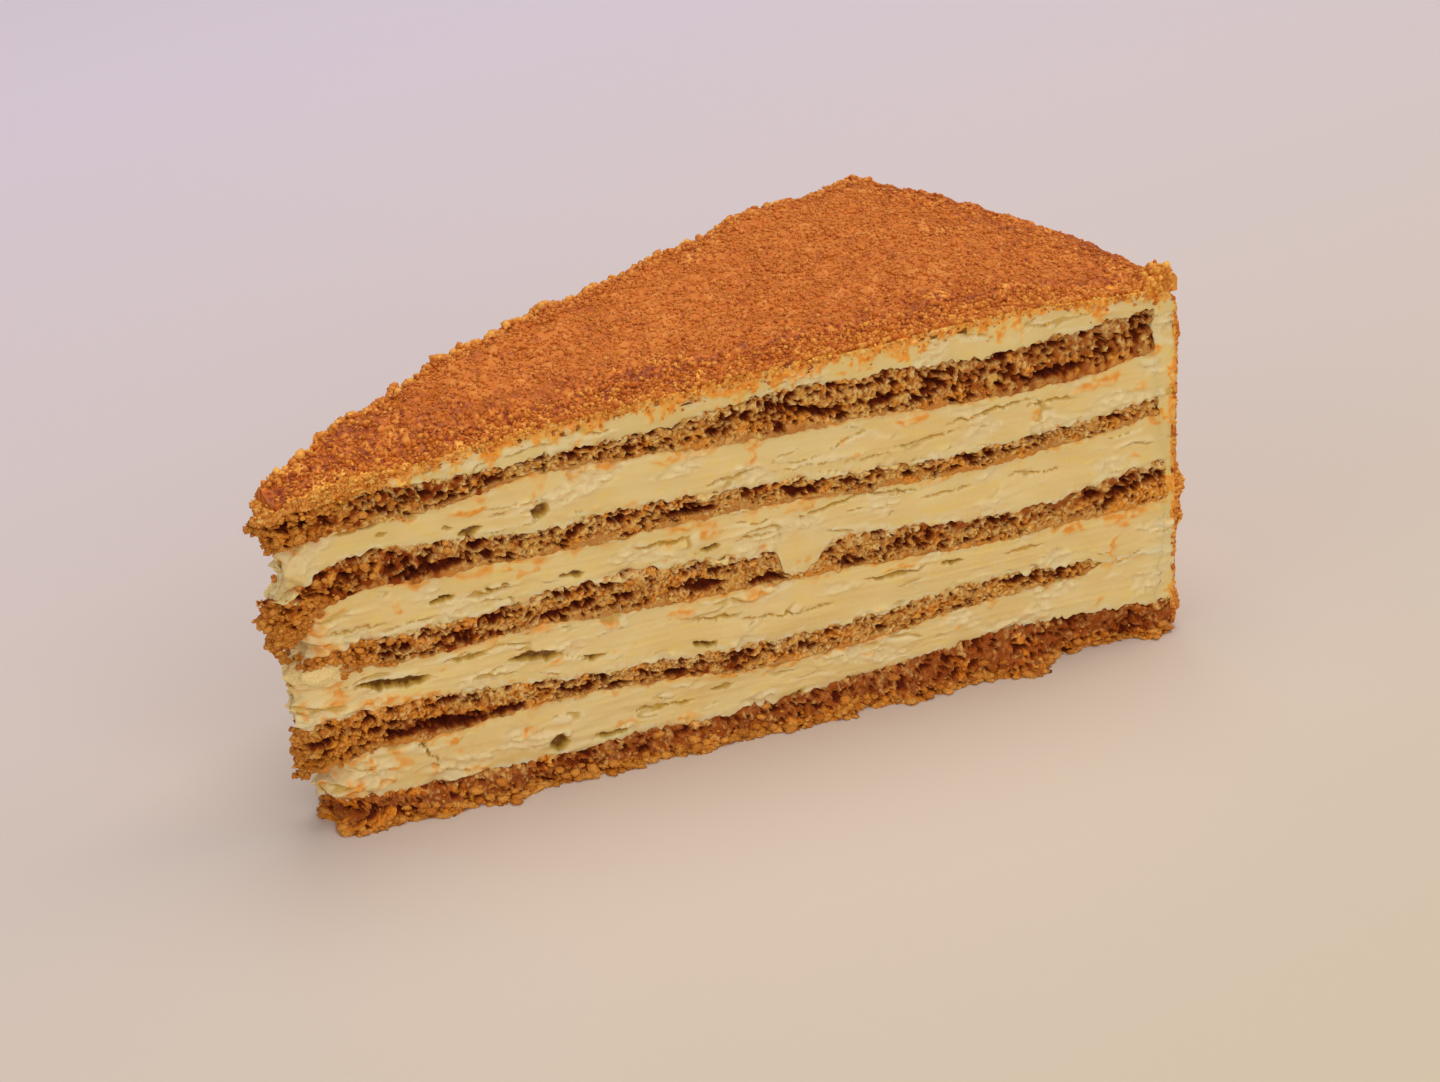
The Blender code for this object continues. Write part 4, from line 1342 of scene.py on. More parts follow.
@dataclass
class LooseCrumbs:
    """Loose crumbs on the bed, on the cream below its edge, on the tip and along the foot."""

    bed: CrumbBed
    carriers: dict[GrainKind, list[tuple[Numbers, Numbers]]]
    variants: int = 7
    shape_seed: int = 91

    def base_shapes(self, small: bool) -> tuple[Numbers, Numbers]:
        """Makes a few angular crumbs from one ball or cube.

        Args:
            small: True for the smallest crumbs, which have twelve faces instead of twenty.

        Returns:
            Their vertices, [variant][vertex][axis], and the faces that all of them share.
        """
        bpy.ops.object.select_all(action="DESELECT")
        if small:
            bpy.ops.mesh.primitive_cube_add(size=1.2)
        else:
            bpy.ops.mesh.primitive_ico_sphere_add(subdivisions=1, radius=1)
        ball = bpy.context.object
        points = unit_points(ball)
        ball.data.calc_loop_triangles()
        faces = np.array([triangle.vertices[:] for triangle in ball.data.loop_triangles])
        bpy.data.objects.remove(ball)
        rng = np.random.default_rng(self.shape_seed)
        shapes = []
        for _ in range(self.variants):
            radii = rng.uniform(0.72, 1.3, len(points))[:, None]
            shapes.append(points * radii * rng.uniform(0.78, 1.2, 3))
        return np.array(shapes), faces

    def build(self, heap: GrainHeap) -> bpy.types.Object:
        """Copies the crumbs to their places and joins them into one mesh.

        Args:
            heap: the kind of crumb and its numbers.

        Returns:
            The finished object, without its material.
        """
        rng = np.random.default_rng(heap.seed)
        centres = self.places(heap, rng)
        count = len(centres)
        sizes = heap.smallest + (heap.largest - heap.smallest) * rng.random(count) ** 2.2
        shapes, faces = self.base_shapes(heap.small)
        turns = self.turns(rng, count)
        points = np.einsum("nij,nvj->nvi", turns, shapes[rng.integers(0, len(shapes), count)])
        points[..., 2] *= heap.flatness
        points = points * sizes[:, None, None] + centres[:, None, :]
        points[..., 2] = np.maximum(points[..., 2], 0.0)
        per = points.shape[1]
        links = (faces[None] + per * np.arange(count)[:, None, None]).reshape(-1, 3)
        piece = self.joined(heap.kind.value, points.reshape(-1, 3), links)
        shade = np.repeat(rng.uniform(*heap.shade, count), per) + rng.normal(0, 0.03, count * per)
        edge = np.repeat(self.bed.edge_tone(centres), per)
        set_values(piece, shade=shade, edge=edge, stain=shade, pale=0.5 * shade - 0.2)
        return piece

    def turns(self, rng: np.random.Generator, count: int) -> Numbers:
        """Turns crumbs at random.

        Args:
            rng: the heap's own random numbers.
            count: how many crumbs there are.

        Returns:
            One matrix for each crumb.
        """
        q = rng.normal(size=(count, 4))
        a, b, c, d = (q / np.linalg.norm(q, axis=1, keepdims=True)).T
        rows = (
            (a * a + b * b - c * c - d * d, 2 * (b * c - a * d), 2 * (b * d + a * c)),
            (2 * (b * c + a * d), a * a - b * b + c * c - d * d, 2 * (c * d - a * b)),
            (2 * (b * d - a * c), 2 * (c * d + a * b), a * a - b * b - c * c + d * d),
        )
        return np.stack([np.stack(row, -1) for row in rows], -2)

    def joined(self, name: str, points: Numbers, links: Numbers) -> bpy.types.Object:
        """Makes one mesh object of many crumbs.

        Args:
            name: the object's name.
            points: all the vertices.
            links: three vertex numbers for each face.

        Returns:
            The new object, linked to the scene.
        """
        mesh = bpy.data.meshes.new(name)
        mesh.vertices.add(len(points))
        mesh.loops.add(links.size)
        mesh.polygons.add(len(links))
        mesh.vertices.foreach_set("co", (points * MM).astype(np.float32).ravel())
        mesh.loops.foreach_set("vertex_index", links.astype(np.int32).ravel())
        mesh.polygons.foreach_set("loop_start", np.arange(0, links.size, 3, dtype=np.int32))
        mesh.update(calc_edges=True)
        mesh.validate()
        piece = bpy.data.objects.new(name, mesh)
        bpy.context.scene.collection.objects.link(piece)
        return piece

    def places(self, heap: GrainHeap, rng: np.random.Generator) -> Numbers:
        """Middles of a heap's crumbs, each on what carries it.

        Args:
            heap: the kind of crumb and its numbers.
            rng: the heap's own random numbers.

        Returns:
            Points in the slice's own frame.
        """
        if heap.kind is GrainKind.RIM:
            return self.on_rim(heap, rng)
        if heap.kind is GrainKind.EDGE:
            return self.on_back_edge(heap, rng)
        return self.on_carriers(heap, rng) if self.carriers[heap.kind] else self.on_top(heap, rng)

    def on_carriers(self, heap: GrainHeap, rng: np.random.Generator) -> Numbers:
        """Crumbs stuck to the cuts and the tip of the layers that carry them.

        Args:
            heap: the kind of crumb and its numbers.
            rng: the heap's own random numbers.

        Returns:
            Their middles.
        """
        points, weights = (np.concatenate(parts) for parts in zip(*self.carriers[heap.kind]))
        chosen = rng.choice(len(points), heap.count, p=weights / weights.sum())
        return points[chosen] + rng.normal(0, 0.12, (heap.count, 3))

    def on_bed(self, radius: Numbers, across: Numbers, lift: Numbers | float) -> Numbers:
        """Points on the bed's top, raised by some height."""
        x, y, _ = FORM.place(radius, across, radius * 0).T
        return np.stack([x, y, self.bed.top_height(x, y)[0] + lift], -1)

    def on_top(self, heap: GrainHeap, rng: np.random.Generator) -> Numbers:
        """Crumbs on the cake's top, some of them along the cuts.

        Args:
            heap: the kind of crumb and its numbers.
            rng: the heap's own random numbers.

        Returns:
            Their middles.
        """
        count = heap.count
        radius = np.sqrt(rng.uniform(8.0**2, 127.6**2, count))
        width = FORM.angle * radius
        across = rng.random(count)
        ends = rng.random(count) < heap.edge_share
        inset = rng.random(count) ** 1.5 * 3.5 / width
        across = np.where(ends, np.where(rng.random(count) < 0.5, inset, 1 - inset), across)
        across = np.clip(across, 0.15 / width, 1 - 0.15 / width)
        return self.on_bed(radius, across, 0.35 * heap.smallest)

    def on_back_edge(self, heap: GrainHeap, rng: np.random.Generator) -> Numbers:
        """Larger crumbs along the edge over the back cut, and at the front corner of the rim.

        Args:
            heap: the kind of crumb and its numbers.
            rng: the heap's own random numbers.

        Returns:
            Their middles.
        """
        count = heap.count
        radius = rng.uniform(8.5, 127.5, count)
        inset = 0.1 + 1.3 * rng.random(count) ** 1.6
        across = 1 - inset / (FORM.angle * radius)
        corner = rng.random(count) < 0.16
        radius = np.where(corner, 127.4 - 3.2 * rng.random(count) ** 1.4, radius)
        across = np.where(corner, 0.001 + 0.045 * rng.random(count) ** 3, across)
        down = np.where(corner & (across < 0.006), 2.6 * rng.random(count), 0)
        return self.on_bed(radius, across, 0.6 * heap.smallest - down)

    def on_rim(self, heap: GrainHeap, rng: np.random.Generator) -> Numbers:
        """Crumbs on the rim, from its foot to its shoulder, some of them beside the front cut.

        Args:
            heap: the kind of crumb and its numbers.
            rng: the heap's own random numbers.

        Returns:
            Their middles.
        """
        count = heap.count
        beside = rng.random(count) < 0.3
        across = np.where(beside, 0.012 * rng.random(count), rng.random(count))
        across = np.clip(across, 0.002, 0.996)
        height = 0.5 + 47.6 * rng.random(count)
        radius, _ = self.bed.rim_reach(across, height)
        wall = FORM.wall_radius(FORM.rim_wall, height)
        radius = np.where(beside, wall + (radius - wall) * rng.random(count), radius + 0.05)
        return FORM.place(radius, across, height)


class NodeBoard:
    """Adds nodes to one tree in short lines."""

    def __init__(self, tree: bpy.types.NodeTree) -> None:
        """Keeps the tree and empties it."""
        self.tree = tree
        tree.nodes.clear()

    def add(
        self, kind: str, inputs: dict[str | int, Fed] | None = None, **settings: object
    ) -> bpy.types.Node:
        """Adds a node.

        Args:
            kind: the node's type.
            inputs: a value or an output socket for each input, by name or number.
            settings: the node's own properties.

        Returns:
            The new node.
        """
        node = self.tree.nodes.new(kind)
        for name, value in settings.items():
            setattr(node, name, value)
        for key, value in (inputs or {}).items():
            if isinstance(value, Socket):
                self.tree.links.new(value, node.inputs[key])
            else:
                node.inputs[key].default_value = value
        return node

    def tint(self, factor: Fed, first: Fed, second: Fed) -> Socket:
        """Mixes two colours: the first where factor is 0 and the second where it is 1."""
        return self.add(
            "ShaderNodeMix", {0: factor, 6: first, 7: second}, data_type="RGBA"
        ).outputs[2]

    def sum(self, operation: str, first: Fed, second: Fed) -> Socket:
        """One sum of two numbers, kept from 0 to 1."""
        inputs = {0: first, 1: second}
        return self.add("ShaderNodeMath", inputs, operation=operation, use_clamp=True).outputs[0]

    def spread(
        self, value: Fed, low: float, high: float, start: float = 0.0, stop: float = 1.0
    ) -> Socket:
        """Stretches a range of a value to another range, and keeps it there."""
        inputs = {
            "Value": value, "From Min": low, "From Max": high, "To Min": start, "To Max": stop
        }
        return self.add("ShaderNodeMapRange", inputs).outputs["Result"]

    def tone(self, name: str) -> Socket:
        """One of the mesh's own attributes."""
        return self.add("ShaderNodeAttribute", attribute_name=name).outputs["Fac"]

    def laid_over(self, colour: Fed, *tones: tuple[str, float, Colour]) -> Socket:
        """Lays colours over another.

        Args:
            colour: the colour underneath.
            tones: for each layer, a tone of the mesh, how much of it counts, and a colour.

        Returns:
            The colour that results.
        """
        for name, share, over in tones:
            colour = self.tint(self.sum("MULTIPLY", self.tone(name), share), colour, over)
        return colour

    def pattern(self, group: bpy.types.NodeTree, where: Fed, scale: float) -> dict[str, Socket]:
        """Places one shared effect at its own scale, and returns its outputs."""
        return self.add(
            "ShaderNodeGroup", {"Vector": where, "Scale": scale}, node_tree=group
        ).outputs


def effect_group(name: str, *results: str) -> tuple[NodeBoard, dict[str, Socket]]:
    """Starts a node group, to be built once and placed in several materials.

    Args:
        name: the group's name.
        results: names of its outputs, which are numbers from 0 to 1.

    Returns:
        A board for the group's nodes, and its inputs: a place and the scale of its pattern.
    """
    tree = bpy.data.node_groups.new(name, "ShaderNodeTree")
    sockets = [("Vector", "INPUT", "NodeSocketVector"), ("Scale", "INPUT", "NodeSocketFloat")]
    sockets += [(result, "OUTPUT", "NodeSocketFloat") for result in results]
    for socket, side, kind in sockets:
        tree.interface.new_socket(name=socket, in_out=side, socket_type=kind)
    board = NodeBoard(tree)
    given = board.add("NodeGroupInput").outputs
    return board, {"Vector": given["Vector"], "Scale": given["Scale"]}


def mottle_group() -> bpy.types.NodeTree:
    """Patches in several sizes, as food browns unevenly.

    Returns:
        The group, whose output is a mask from 0 to 1.
    """
    board, given = effect_group("mottle", "Mask")
    wide = board.add("ShaderNodeTexNoise", {**given, "Detail": 3.0})
    board.add("NodeGroupOutput", {"Mask": board.spread(wide.outputs["Fac"], 0.34, 0.66)})
    return board.tree


def grain_group() -> bpy.types.NodeTree:
    """Fine crumb grain.

    Returns:
        The group, whose outputs are a height and a speckle, from 0 to 1.
    """
    board, given = effect_group("fine_grain", "Height", "Speckle")
    soft = board.add(
        "ShaderNodeTexNoise", {**given, "Detail": 4.0, "Roughness": 0.65}
    ).outputs["Fac"]
    round_grain = board.add("ShaderNodeTexVoronoi", given).outputs["Distance"]
    height = board.sum("SUBTRACT", soft, board.sum("MULTIPLY", round_grain, 0.5))
    board.add("NodeGroupOutput", {"Height": height, "Speckle": board.spread(soft, 0.42, 0.6)})
    return board.tree


def granule_group() -> bpy.types.NodeTree:
    """Packed granules.

    Returns:
        The group, whose outputs are a height, a tint for each granule and the creases that take
        painted shade, from 0 to 1.
    """
    board, given = effect_group("granules", "Height", "Tint", "CreaseShade")
    stir = board.add("ShaderNodeTexNoise", {**given, "Detail": 2.0}).outputs["Color"]
    shift = board.add(
        "ShaderNodeVectorMath", {0: stir, 1: (0.5 * MM,) * 3}, operation="MULTIPLY"
    ).outputs[0]
    where = board.add(
        "ShaderNodeVectorMath", {0: given["Vector"], 1: shift}, operation="ADD"
    ).outputs[0]
    stirred = {**given, "Vector": where}
    body = board.add("ShaderNodeTexVoronoi", stirred).outputs["Color"]
    border = board.add(
        "ShaderNodeTexVoronoi", stirred, feature="DISTANCE_TO_EDGE"
    ).outputs["Distance"]
    results = {
        "Height": board.spread(border, 0.0, 0.3),
        "Tint": board.add("ShaderNodeSeparateColor", {"Color": body}).outputs["Red"],
        "CreaseShade": board.spread(border, 0.1, 0.0),
    }
    board.add("NodeGroupOutput", results)
    return board.tree


@dataclass(frozen=True)
class Effects:
    """The node groups that several finishes use."""

    mottle: bpy.types.NodeTree
    grain: bpy.types.NodeTree
    granules: bpy.types.NodeTree


@dataclass(frozen=True)
class Finish:
    """What the finishes of the food share; their patterns' scales are in features for each metre.

    A bump is given by its height in metres and its strength, and the light that goes through the
    surface by its share and its reach in metres in each colour.
    """

    effects: Effects
    name: str
    bump: tuple[float, float] = (0.0002, 0.6)
    through: tuple[float, Place] = (0.2, (0.0016, 0.0007, 0.0003))
    highlight: float = 0.3

    def start(self) -> tuple[NodeBoard, bpy.types.Material, Socket]:
        """Starts the material.

        Returns:
            A board for its nodes, the material and its Object coordinates.
        """
        material = bpy.data.materials.new(self.name)
        material.use_nodes = True
        board = NodeBoard(material.node_tree)
        return board, material, board.add("ShaderNodeTexCoord").outputs["Object"]

    def shade(self, board: NodeBoard, colour: Fed, roughness: Fed, height: Fed) -> None:
        """Adds the shader, with its finest relief, and the output.

        Args:
            board: the material's nodes.
            colour: the base colour.
            roughness: the roughness.
            height: the height that the relief is made from.
        """
        distance, strength = self.bump
        bump = board.add(
            "ShaderNodeBump", {"Height": height, "Distance": distance, "Strength": strength}
        )
        weight, reach = self.through
        inputs = {
            "Base Color": colour,
            "Roughness": roughness,
            "Normal": bump.outputs["Normal"],
            "Subsurface Weight": weight,
            "Subsurface Radius": reach,
            "Subsurface Scale": 1.0,
            "Specular IOR Level": self.highlight,
        }
        shader = board.add("ShaderNodeBsdfPrincipled", inputs)
        board.add("ShaderNodeOutputMaterial", {"Surface": shader.outputs["BSDF"]})


@dataclass(frozen=True)
class SpongeFinish(Finish):
    """Honey sponge: tan lumps, painted shade in its hollows and creases, darker crust where syrup
    soaked in, a red-brown syrup band, honey-orange patches, and pale specks with painted glints.
    """

    name: str = "honey_sponge"
    light: Colour = (0.97, 0.62, 0.16, 1)
    middle: Colour = (0.66, 0.245, 0.016, 1)
    # deep and dark are painted shade for the creases and hollows, and the darker soaked crust.
    deep: Colour = (0.36, 0.066, 0.0005, 1)
    dark: Colour = (0.15, 0.014, 0.0002, 1)
    syrup: Colour = (0.46, 0.165, 0.035, 1)
    honey: Colour = (0.96, 0.35, 0.020, 1)
    # Pale cream specks, and the painted glints.
    flecks_and_glints: Colour = (0.94, 0.72, 0.31, 1)

    def material(self) -> bpy.types.Material:
        """Builds the material.

        Returns:
            The new material.
        """
        board, material, where = self.start()
        patches = board.pattern(self.effects.mottle, where, 420.0)["Mask"]
        lumps = board.pattern(self.effects.mottle, where, 1300.0)["Mask"]
        grain = board.pattern(self.effects.granules, where, 1900.0)
        shade_and_soak = board.tone("shade_and_soak")
        colour = board.tint(grain["Tint"], self.middle, self.light)
        colour = board.tint(board.sum("MULTIPLY", patches, 0.35), colour, self.middle)
        colour = board.laid_over(
            colour, ("stain", 0.75, self.honey), ("syrup", 0.55, self.syrup),
            ("pale", 0.9, self.flecks_and_glints)
        )
        smooth = board.sum("ADD", board.tone("syrup"), board.tone("pale"))
        # Painted shade in the creases between granules and in the hollows; the hollows' tone also
        # carries the soaked crust.
        crease_shade = board.sum("MULTIPLY", board.sum("SUBTRACT", grain["CreaseShade"], smooth), 0.4)
        colour = board.tint(crease_shade, colour, self.deep)
        colour = board.tint(board.spread(shade_and_soak, 0.0, 0.6), colour, self.deep)
        colour = board.tint(board.spread(shade_and_soak, 0.5, 0.95), colour, self.dark)
        roughness = board.sum("ADD", board.spread(lumps, 0, 1, 0.6, 0.34), shade_and_soak)
        self.shade(board, colour, roughness, grain["Height"])
        return material


@dataclass(frozen=True)
class CreamFinish(Finish):
    """Butter cream: warm and pale, with painted shade, olive in its cracks and brown in its holes,
    and orange where crumbs lie on it.
    """

    name: str = "butter_cream"
    bump: tuple[float, float] = (0.00016, 0.55)
    through: tuple[float, Place] = (0.25, (0.0030, 0.0018, 0.0008))
    highlight: float = 0.45
    butter: Colour = (0.86, 0.655, 0.285, 1)
    rich: Colour = (0.83, 0.595, 0.215, 1)
    # The crack and hole colours are painted shade: olive in the cracks and brown in the holes.
    crack_shade: Colour = (0.66, 0.43, 0.07, 1)
    hole: Colour = (0.30, 0.13, 0.018, 1)
    fat: Colour = (0.87, 0.64, 0.17, 1)
    stain: Colour = (0.92, 0.53, 0.13, 1)
    deep_stain: Colour = (0.86, 0.33, 0.03, 1)
    white: Colour = (0.88, 0.735, 0.44, 1)

    def material(self) -> bpy.types.Material:
        """Builds the material.

        Returns:
            The new material.
        """
        board, material, where = self.start()
        patches = board.pattern(self.effects.mottle, where, 130.0)["Mask"]
        spots = board.pattern(self.effects.mottle, where, 900.0)["Mask"]
        stretched = board.add("ShaderNodeMapping", {"Vector": where, "Scale": (0.12, 0.12, 1.0)})
        drag = board.pattern(self.effects.grain, stretched.outputs["Vector"], 1500.0)["Height"]
        grain = board.pattern(self.effects.grain, where, 1800.0)["Height"]
        shade_and_soak, strewn = board.tone("shade_and_soak"), board.tone("stain")
        colour = board.tint(patches, self.butter, self.rich)
        colour = board.laid_over(colour, ("syrup", 0.5, self.fat), ("pale", 0.75, self.white))
        depth = board.sum(
            "ADD", board.sum("MULTIPLY", strewn, 0.7), board.sum("MULTIPLY", spots, 0.4)
        )
        stain = board.tint(board.spread(depth, 0.4, 1.0), self.stain, self.deep_stain)
        colour = board.tint(strewn, colour, stain)
        # Painted shade in the cracks and the holes.
        colour = board.tint(board.spread(shade_and_soak, 0.08, 0.5), colour, self.crack_shade)
        colour = board.tint(board.spread(shade_and_soak, 0.6, 1.0), colour, self.hole)
        height = board.add(
            "ShaderNodeMix", {0: 0.4, 2: drag, 3: grain}, data_type="FLOAT"
        ).outputs[0]
        self.shade(board, colour, board.spread(patches, 0, 1, 0.42, 0.55), height)
        return material


@dataclass(frozen=True)
class CrumbFinish(Finish):
    """Fine cake crumbs: orange-brown grains that are paler and pinker in the middle of the top."""

    name: str = "cake_crumbs"
    bump: tuple[float, float] = (0.0002, 0.5)
    through: tuple[float, Place] = (0.08, (0.0014, 0.0006, 0.0002))
    highlight: float = 0.25
    dark: Colour = (0.22, 0.022, 0.0005, 1)
    orange: Colour = (0.57, 0.125, 0.002, 1)
    pale: Colour = (0.98, 0.50, 0.075, 1)
    soft_dark: Colour = (0.44, 0.080, 0.002, 1)
    soft: Colour = (0.63, 0.172, 0.013, 1)
    soft_pale: Colour = (0.75, 0.30, 0.080, 1)

    def material(self) -> bpy.types.Material:
        """Builds the material.

        Returns:
            The new material.
        """
        board, material, where = self.start()
        grain = board.pattern(self.effects.grain, where, 2200.0)
        patches = board.pattern(self.effects.mottle, where, 160.0)["Mask"]
        shade = board.tone("shade")
        # Low shade, which includes the painted shade between grains, goes to the dark colours.
        low, high = board.spread(shade, 0.08, 0.5), board.spread(shade, 0.5, 0.95)
        crisp = board.tint(high, board.tint(low, self.dark, self.orange), self.pale)
        soft = board.tint(high, board.tint(low, self.soft_dark, self.soft), self.soft_pale)
        inward = board.sum("SUBTRACT", 1.0, board.tone("edge"))
        inward = board.sum("MULTIPLY", inward, board.spread(patches, 0, 1, 0.6, 1))
        colour = board.tint(inward, crisp, soft)
        colour = board.tint(board.sum("MULTIPLY", grain["Speckle"], 0.22), colour, self.soft_pale)
        self.shade(board, colour, board.spread(grain["Speckle"], 0, 1, 0.7, 0.5), grain["Height"])
        return material


@dataclass(frozen=True)
class FloorFinish:
    """Plain pale floor, a little cooler behind the slice than before it."""

    near: Colour = (0.61, 0.515, 0.385, 1)
    far: Colour = (0.70, 0.62, 0.715, 1)
    reach: tuple[float, float] = (-0.12, 0.30)

    def material(self) -> bpy.types.Material:
        """Builds the material.

        Returns:
            The new material.
        """
        material = bpy.data.materials.new("floor")
        material.use_nodes = True
        board = NodeBoard(material.node_tree)
        where = board.add("ShaderNodeTexCoord").outputs["Object"]
        depth = board.add("ShaderNodeSeparateXYZ", {"Vector": where}).outputs["Y"]
        colour = board.tint(board.spread(depth, *self.reach), self.near, self.far)
        inputs = {"Base Color": colour, "Roughness": 0.5, "Specular IOR Level": 0.3}
        shader = board.add("ShaderNodeBsdfPrincipled", inputs)
        board.add("ShaderNodeOutputMaterial", {"Surface": shader.outputs["BSDF"]})
        return material


@dataclass(frozen=True)
class SoftLight:
    """One soft square light that faces the slice; its place and its side are in metres."""

    name: str
    place: Place
    side: float
    watts: float
    colour: Place

    def hang(self) -> None:
        """Adds the light to the scene."""
        data = bpy.data.lights.new(self.name, "AREA")
        data.shape = "SQUARE"
        data.size = self.side
        data.energy = self.watts
        data.color = self.colour
        light = bpy.data.objects.new(self.name, data)
        toward = Vector((0, 0, 0.02)) - Vector(self.place)
        light.rotation_euler = toward.to_track_quat("-Z", "Y").to_euler()
        light.location = self.place
        bpy.context.scene.collection.objects.link(light)


@dataclass
class Studio:
    """Floor, soft lights and the camera at the height and the side that the slice is seen from."""

    eye: Place = (-233.6, -297.2, 189.9)
    look: Place = (0.570, 0.7112, -0.4115)
    picture_up: Place = (0.2791, 0.3035, 0.911)
    lens: float = 81.0
    room: Colour = (0.86, 0.80, 0.84, 1)
    room_strength: float = 0.24
    lights: tuple[SoftLight, ...] = (
        SoftLight("overhead", (0.25, 0.12, 1.2), 1.1, 11.2, (1.0, 0.97, 0.95)),
        SoftLight("front_fill", (-0.35, -1.15, 0.7), 1.2, 8.5, (1.0, 0.965, 0.93)),
        SoftLight("rim_side", (1.1, -0.2, 0.6), 0.8, 2.6, (1.0, 0.97, 0.95)),
        SoftLight("tip_side", (-1.2, 0.0, 0.5), 0.8, 2.2, (1.0, 0.97, 0.93)),
    )

    def build_camera(self) -> None:
        """Places the camera and makes it the scene's own."""
        data = bpy.data.cameras.new("camera")
        data.lens = self.lens
        data.sensor_width = 36.0
        data.clip_start = 0.01
        camera = bpy.data.objects.new("camera", data)
        back = -Vector(self.look).normalized()
        right = Vector(self.picture_up).cross(back).normalized()
        turn = Matrix((right, back.cross(right), back)).transposed().to_4x4()
        camera.matrix_world = Matrix.Translation(Vector(self.eye) * MM) @ turn
        bpy.context.scene.collection.objects.link(camera)
        bpy.context.scene.camera = camera

    def build_floor(self) -> None:
        """Lays a wide plain floor under the slice."""
        bpy.ops.object.select_all(action="DESELECT")
        bpy.ops.mesh.primitive_plane_add(size=12, location=(0, 0, 0))
        floor = bpy.context.object
        floor.name = "floor"
        floor.data.materials.append(FloorFinish().material())

    def build_lights(self) -> None:
        """Hangs the lights, the strongest overhead and the next before the cut, in a pale room."""
        for light in self.lights:
            light.hang()
        world = bpy.data.worlds.new("room")
        world.use_nodes = True
        background = world.node_tree.nodes["Background"].inputs
        background["Color"].default_value = self.room
        background["Strength"].default_value = self.room_strength
        bpy.context.scene.world = world
        bpy.context.scene.view_settings.view_transform = "Standard"


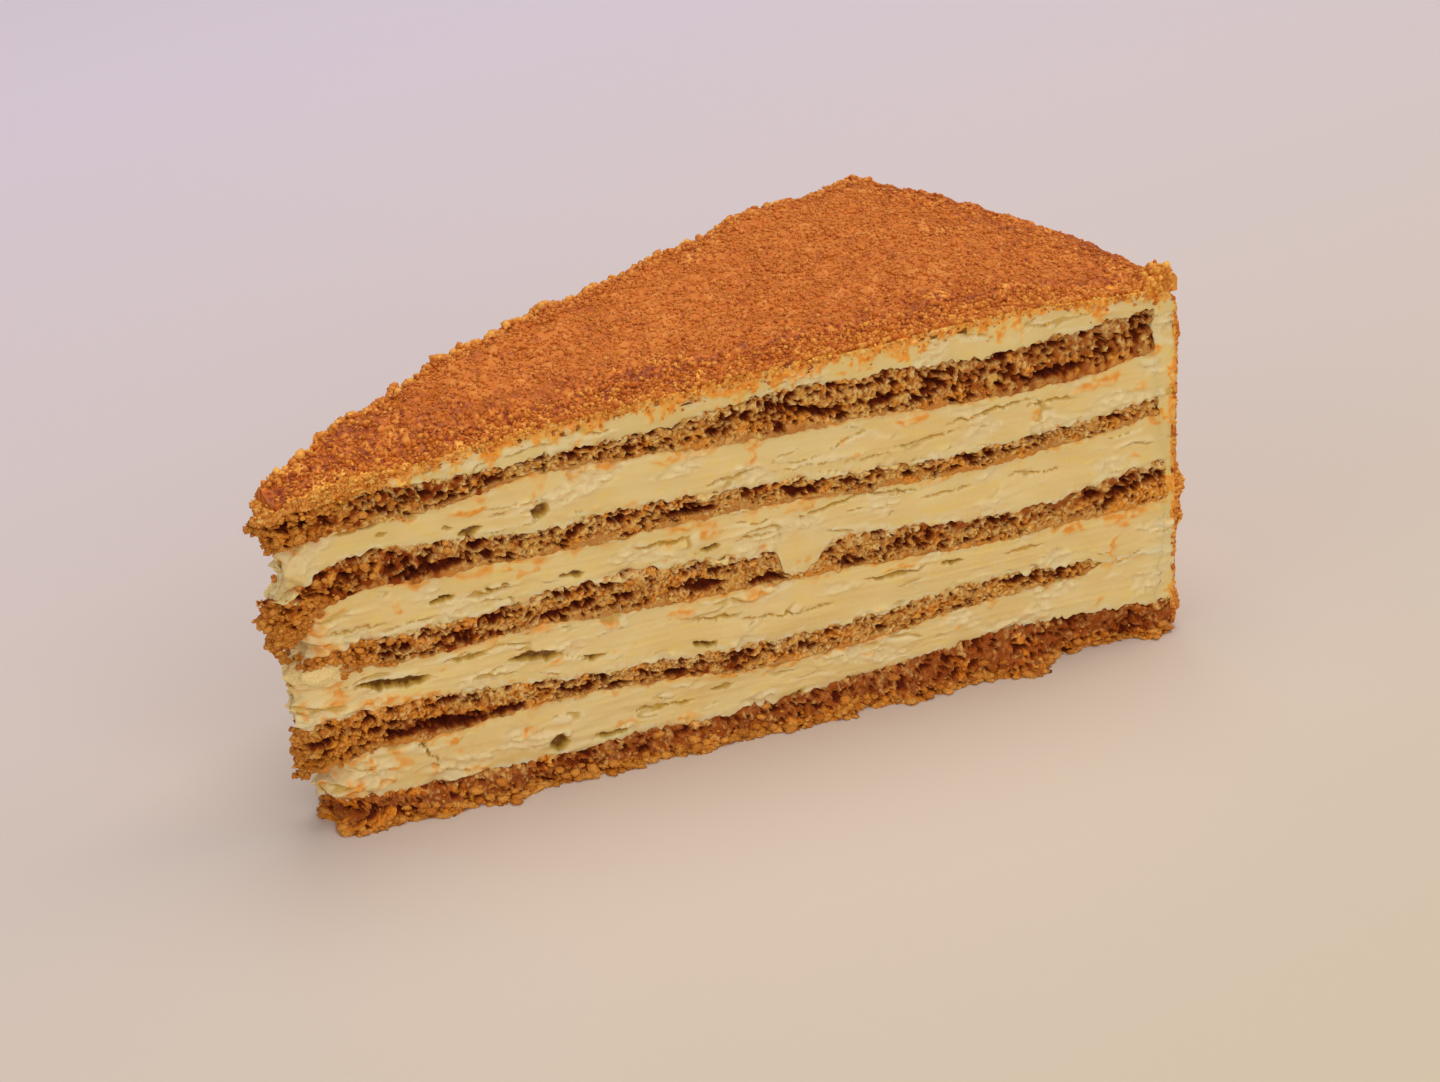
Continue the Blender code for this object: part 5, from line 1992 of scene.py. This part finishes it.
@dataclass
class HoneyCakeSlice:
    """The whole slice: its layers, its coats and its loose crumbs."""

    effects: Effects
    pieces: list[bpy.types.Object] = field(default_factory=list)
    carriers: dict[GrainKind, list[tuple[Numbers, Numbers]]] = field(
        default_factory=lambda: {kind: [] for kind in GrainKind}
    )

    def dress(
        self,
        piece: bpy.types.Object,
        material: bpy.types.Material,
        slot: str,
        *nodes: str,
        smooth: float = 60.0,
    ) -> None:
        """Gives a piece its material, and hides the CAD nodes that it stands for.

        Args:
            piece: the finished object.
            material: its material.
            slot: a material slot's name; not used.
            nodes: CAD nodes that it replaces.
            smooth: the sharpest edge in degrees that is shaded round, or 0 for flat faces.
        """
        if smooth:
            choose_only(piece)
            bpy.ops.object.shade_smooth_by_angle(angle=math.radians(smooth))
        piece.data.materials.append(material)
        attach(piece, "root")
        if nodes:
            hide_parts(*nodes)
        self.pieces.append(piece)
        faces = sum(len(p.vertices) - 2 for p in piece.data.polygons)
        LOG.info("%s: %d triangles", piece.name, faces)

    def build_sponges(self) -> bpy.types.Material:
        """Builds the five honey sponges.

        Returns:
            The material of the lowest one, which the crumbs that broke off share.
        """
        finish = SpongeFinish(self.effects).material()
        toasted = SpongeFinish(
            self.effects, "toasted_sponge", light=(0.53, 0.165, 0.012, 1),
            middle=(0.235, 0.045, 0.0015, 1),
            honey=(0.95, 0.31, 0.008, 1), flecks_and_glints=(0.97, 0.58, 0.16, 1),
        ).material()
        lowest = SpongeCrumb(
            11, openness=0.32, pore_depth=1.0, syrup_band=0.0, honey=0.3, lump=0.85, lump_height=0.5
        )
        kinds = (
            (12.8, 129.2, lowest),
            (9.0, 119.2, SpongeCrumb(22, openness=0.28)),
            (11.0, None, SpongeCrumb(33, openness=0.32)),
            (7.3, None, SpongeCrumb(44, openness=0.34, syrup_band=0.16)),
            (7.5, None, SpongeCrumb(55, openness=0.38)),
        )
        for k, (start, end, crumb) in enumerate(kinds):
            name = f"sponge_{k + 1}"
            layer = Layer(
                f"{name}_cut", 2 * k, 2 * k + 1, start, end, crumb, spacing=0.19, flared=k == 0
            )
            piece = layer.build()
            self.dress(piece, finish if k else toasted, "sponge", name)
            points, radius = outer_points(piece, start)
            if k:
                carrier = (points, np.exp(-np.clip(radius - start, 0, None) / 4.0))
                self.carriers[GrainKind.TIP].append(carrier)
            else:
                self.carriers[GrainKind.FOOT].append((points, np.exp(-points[:, 2] / 0.6)))
        return toasted

    def build_creams(self) -> None:
        """Builds the four fillings and the coat of cream."""
        finish = CreamFinish(self.effects).material()
        coat_finish = CreamFinish(
            self.effects, "coat_cream", stain=(0.98, 0.58, 0.10, 1),
            deep_stain=(0.94, 0.30, 0.009, 1)
        ).material()
        for k, start in enumerate((12.4, 9.4, 10.4, 8.7)):
            name = f"cream_{k + 1}"
            face = CreamFace() if k else CreamFace(tip_zone=(24.0, 4.0))
            layer = Layer(f"{name}_cut", 2 * k + 1, 2 * k + 2, start, None, face, overlap=0.12)
            self.dress(layer.build(), finish, "cream", name)
        coat = CreamCoat()
        piece = coat.build()
        self.dress(piece, coat_finish, "cream", "cream_coat")
        points, radius = outer_points(piece, coat.start)
        below = FORM.plain_surface(FORM.coat_top, radius, 0.0) - points[:, 2]
        weights = np.exp(-np.clip(below, 0, None) / (0.45 + 1.8 * step_between(26, 12, radius)))
        self.carriers[GrainKind.SPILLED].append((points, weights * (radius < 127.5)))

    def build_crumbs(self, sponge_finish: bpy.types.Material) -> None:
        """Builds the bed of crumbs, and the loose crumbs on it, on the cuts, foot and tip.

        Args:
            sponge_finish: the material of the crumbs that broke off the sponges.
        """
        finish = CrumbFinish(self.effects).material()
        bed = CrumbBed()
        for slab in (bed.build_top(), bed.build_rim()):
            self.dress(slab, finish, "crumb", "crumb_coat", smooth=40.0)
        loose = LooseCrumbs(bed, self.carriers)
        for heap in (
            GrainHeap(GrainKind.FINE, 15500, 0.1, 0.28, (0.36, 0.66), 3, small=True),
            GrainHeap(GrainKind.COARSE, 9500, 0.14, 0.46, (0.32, 0.74), 4, edge_share=0.7),
            GrainHeap(GrainKind.DARK, 2200, 0.12, 0.3, (0.0, 0.15), 5, edge_share=0.4, small=True),
            GrainHeap(GrainKind.RIM, 9500, 0.14, 0.44, (0.42, 0.9), 6),
            GrainHeap(GrainKind.SPILLED, 3600, 0.12, 0.36, (0.5, 0.95), 7, small=True),
            GrainHeap(GrainKind.EDGE, 1500, 0.2, 0.62, (0.5, 0.95), 10, flatness=0.95),
        ):
            self.dress(loose.build(heap), finish, "crumb", smooth=0)
        for heap in (
            GrainHeap(GrainKind.FOOT, 1900, 0.2, 0.95, (0.4, 1.0), 8, flatness=0.5),
            GrainHeap(GrainKind.TIP, 1700, 0.16, 0.6, (0.4, 1.0), 9),
        ):
            self.dress(loose.build(heap), sponge_finish, "sponge", smooth=0)


def main() -> None:
    """Builds the slice and the studio, in order."""
    logging.basicConfig(level=logging.INFO, format="%(name)s %(message)s")
    bpy.ops.object.select_all(action="DESELECT")
    cake = HoneyCakeSlice(Effects(mottle_group(), grain_group(), granule_group()))
    sponge_finish = cake.build_sponges()
    cake.build_creams()
    cake.build_crumbs(sponge_finish)
    studio = Studio()
    studio.build_floor()
    studio.build_lights()
    studio.build_camera()
    LOG.info("%d pieces", len(cake.pieces))


if __name__ == "__main__":
    main()
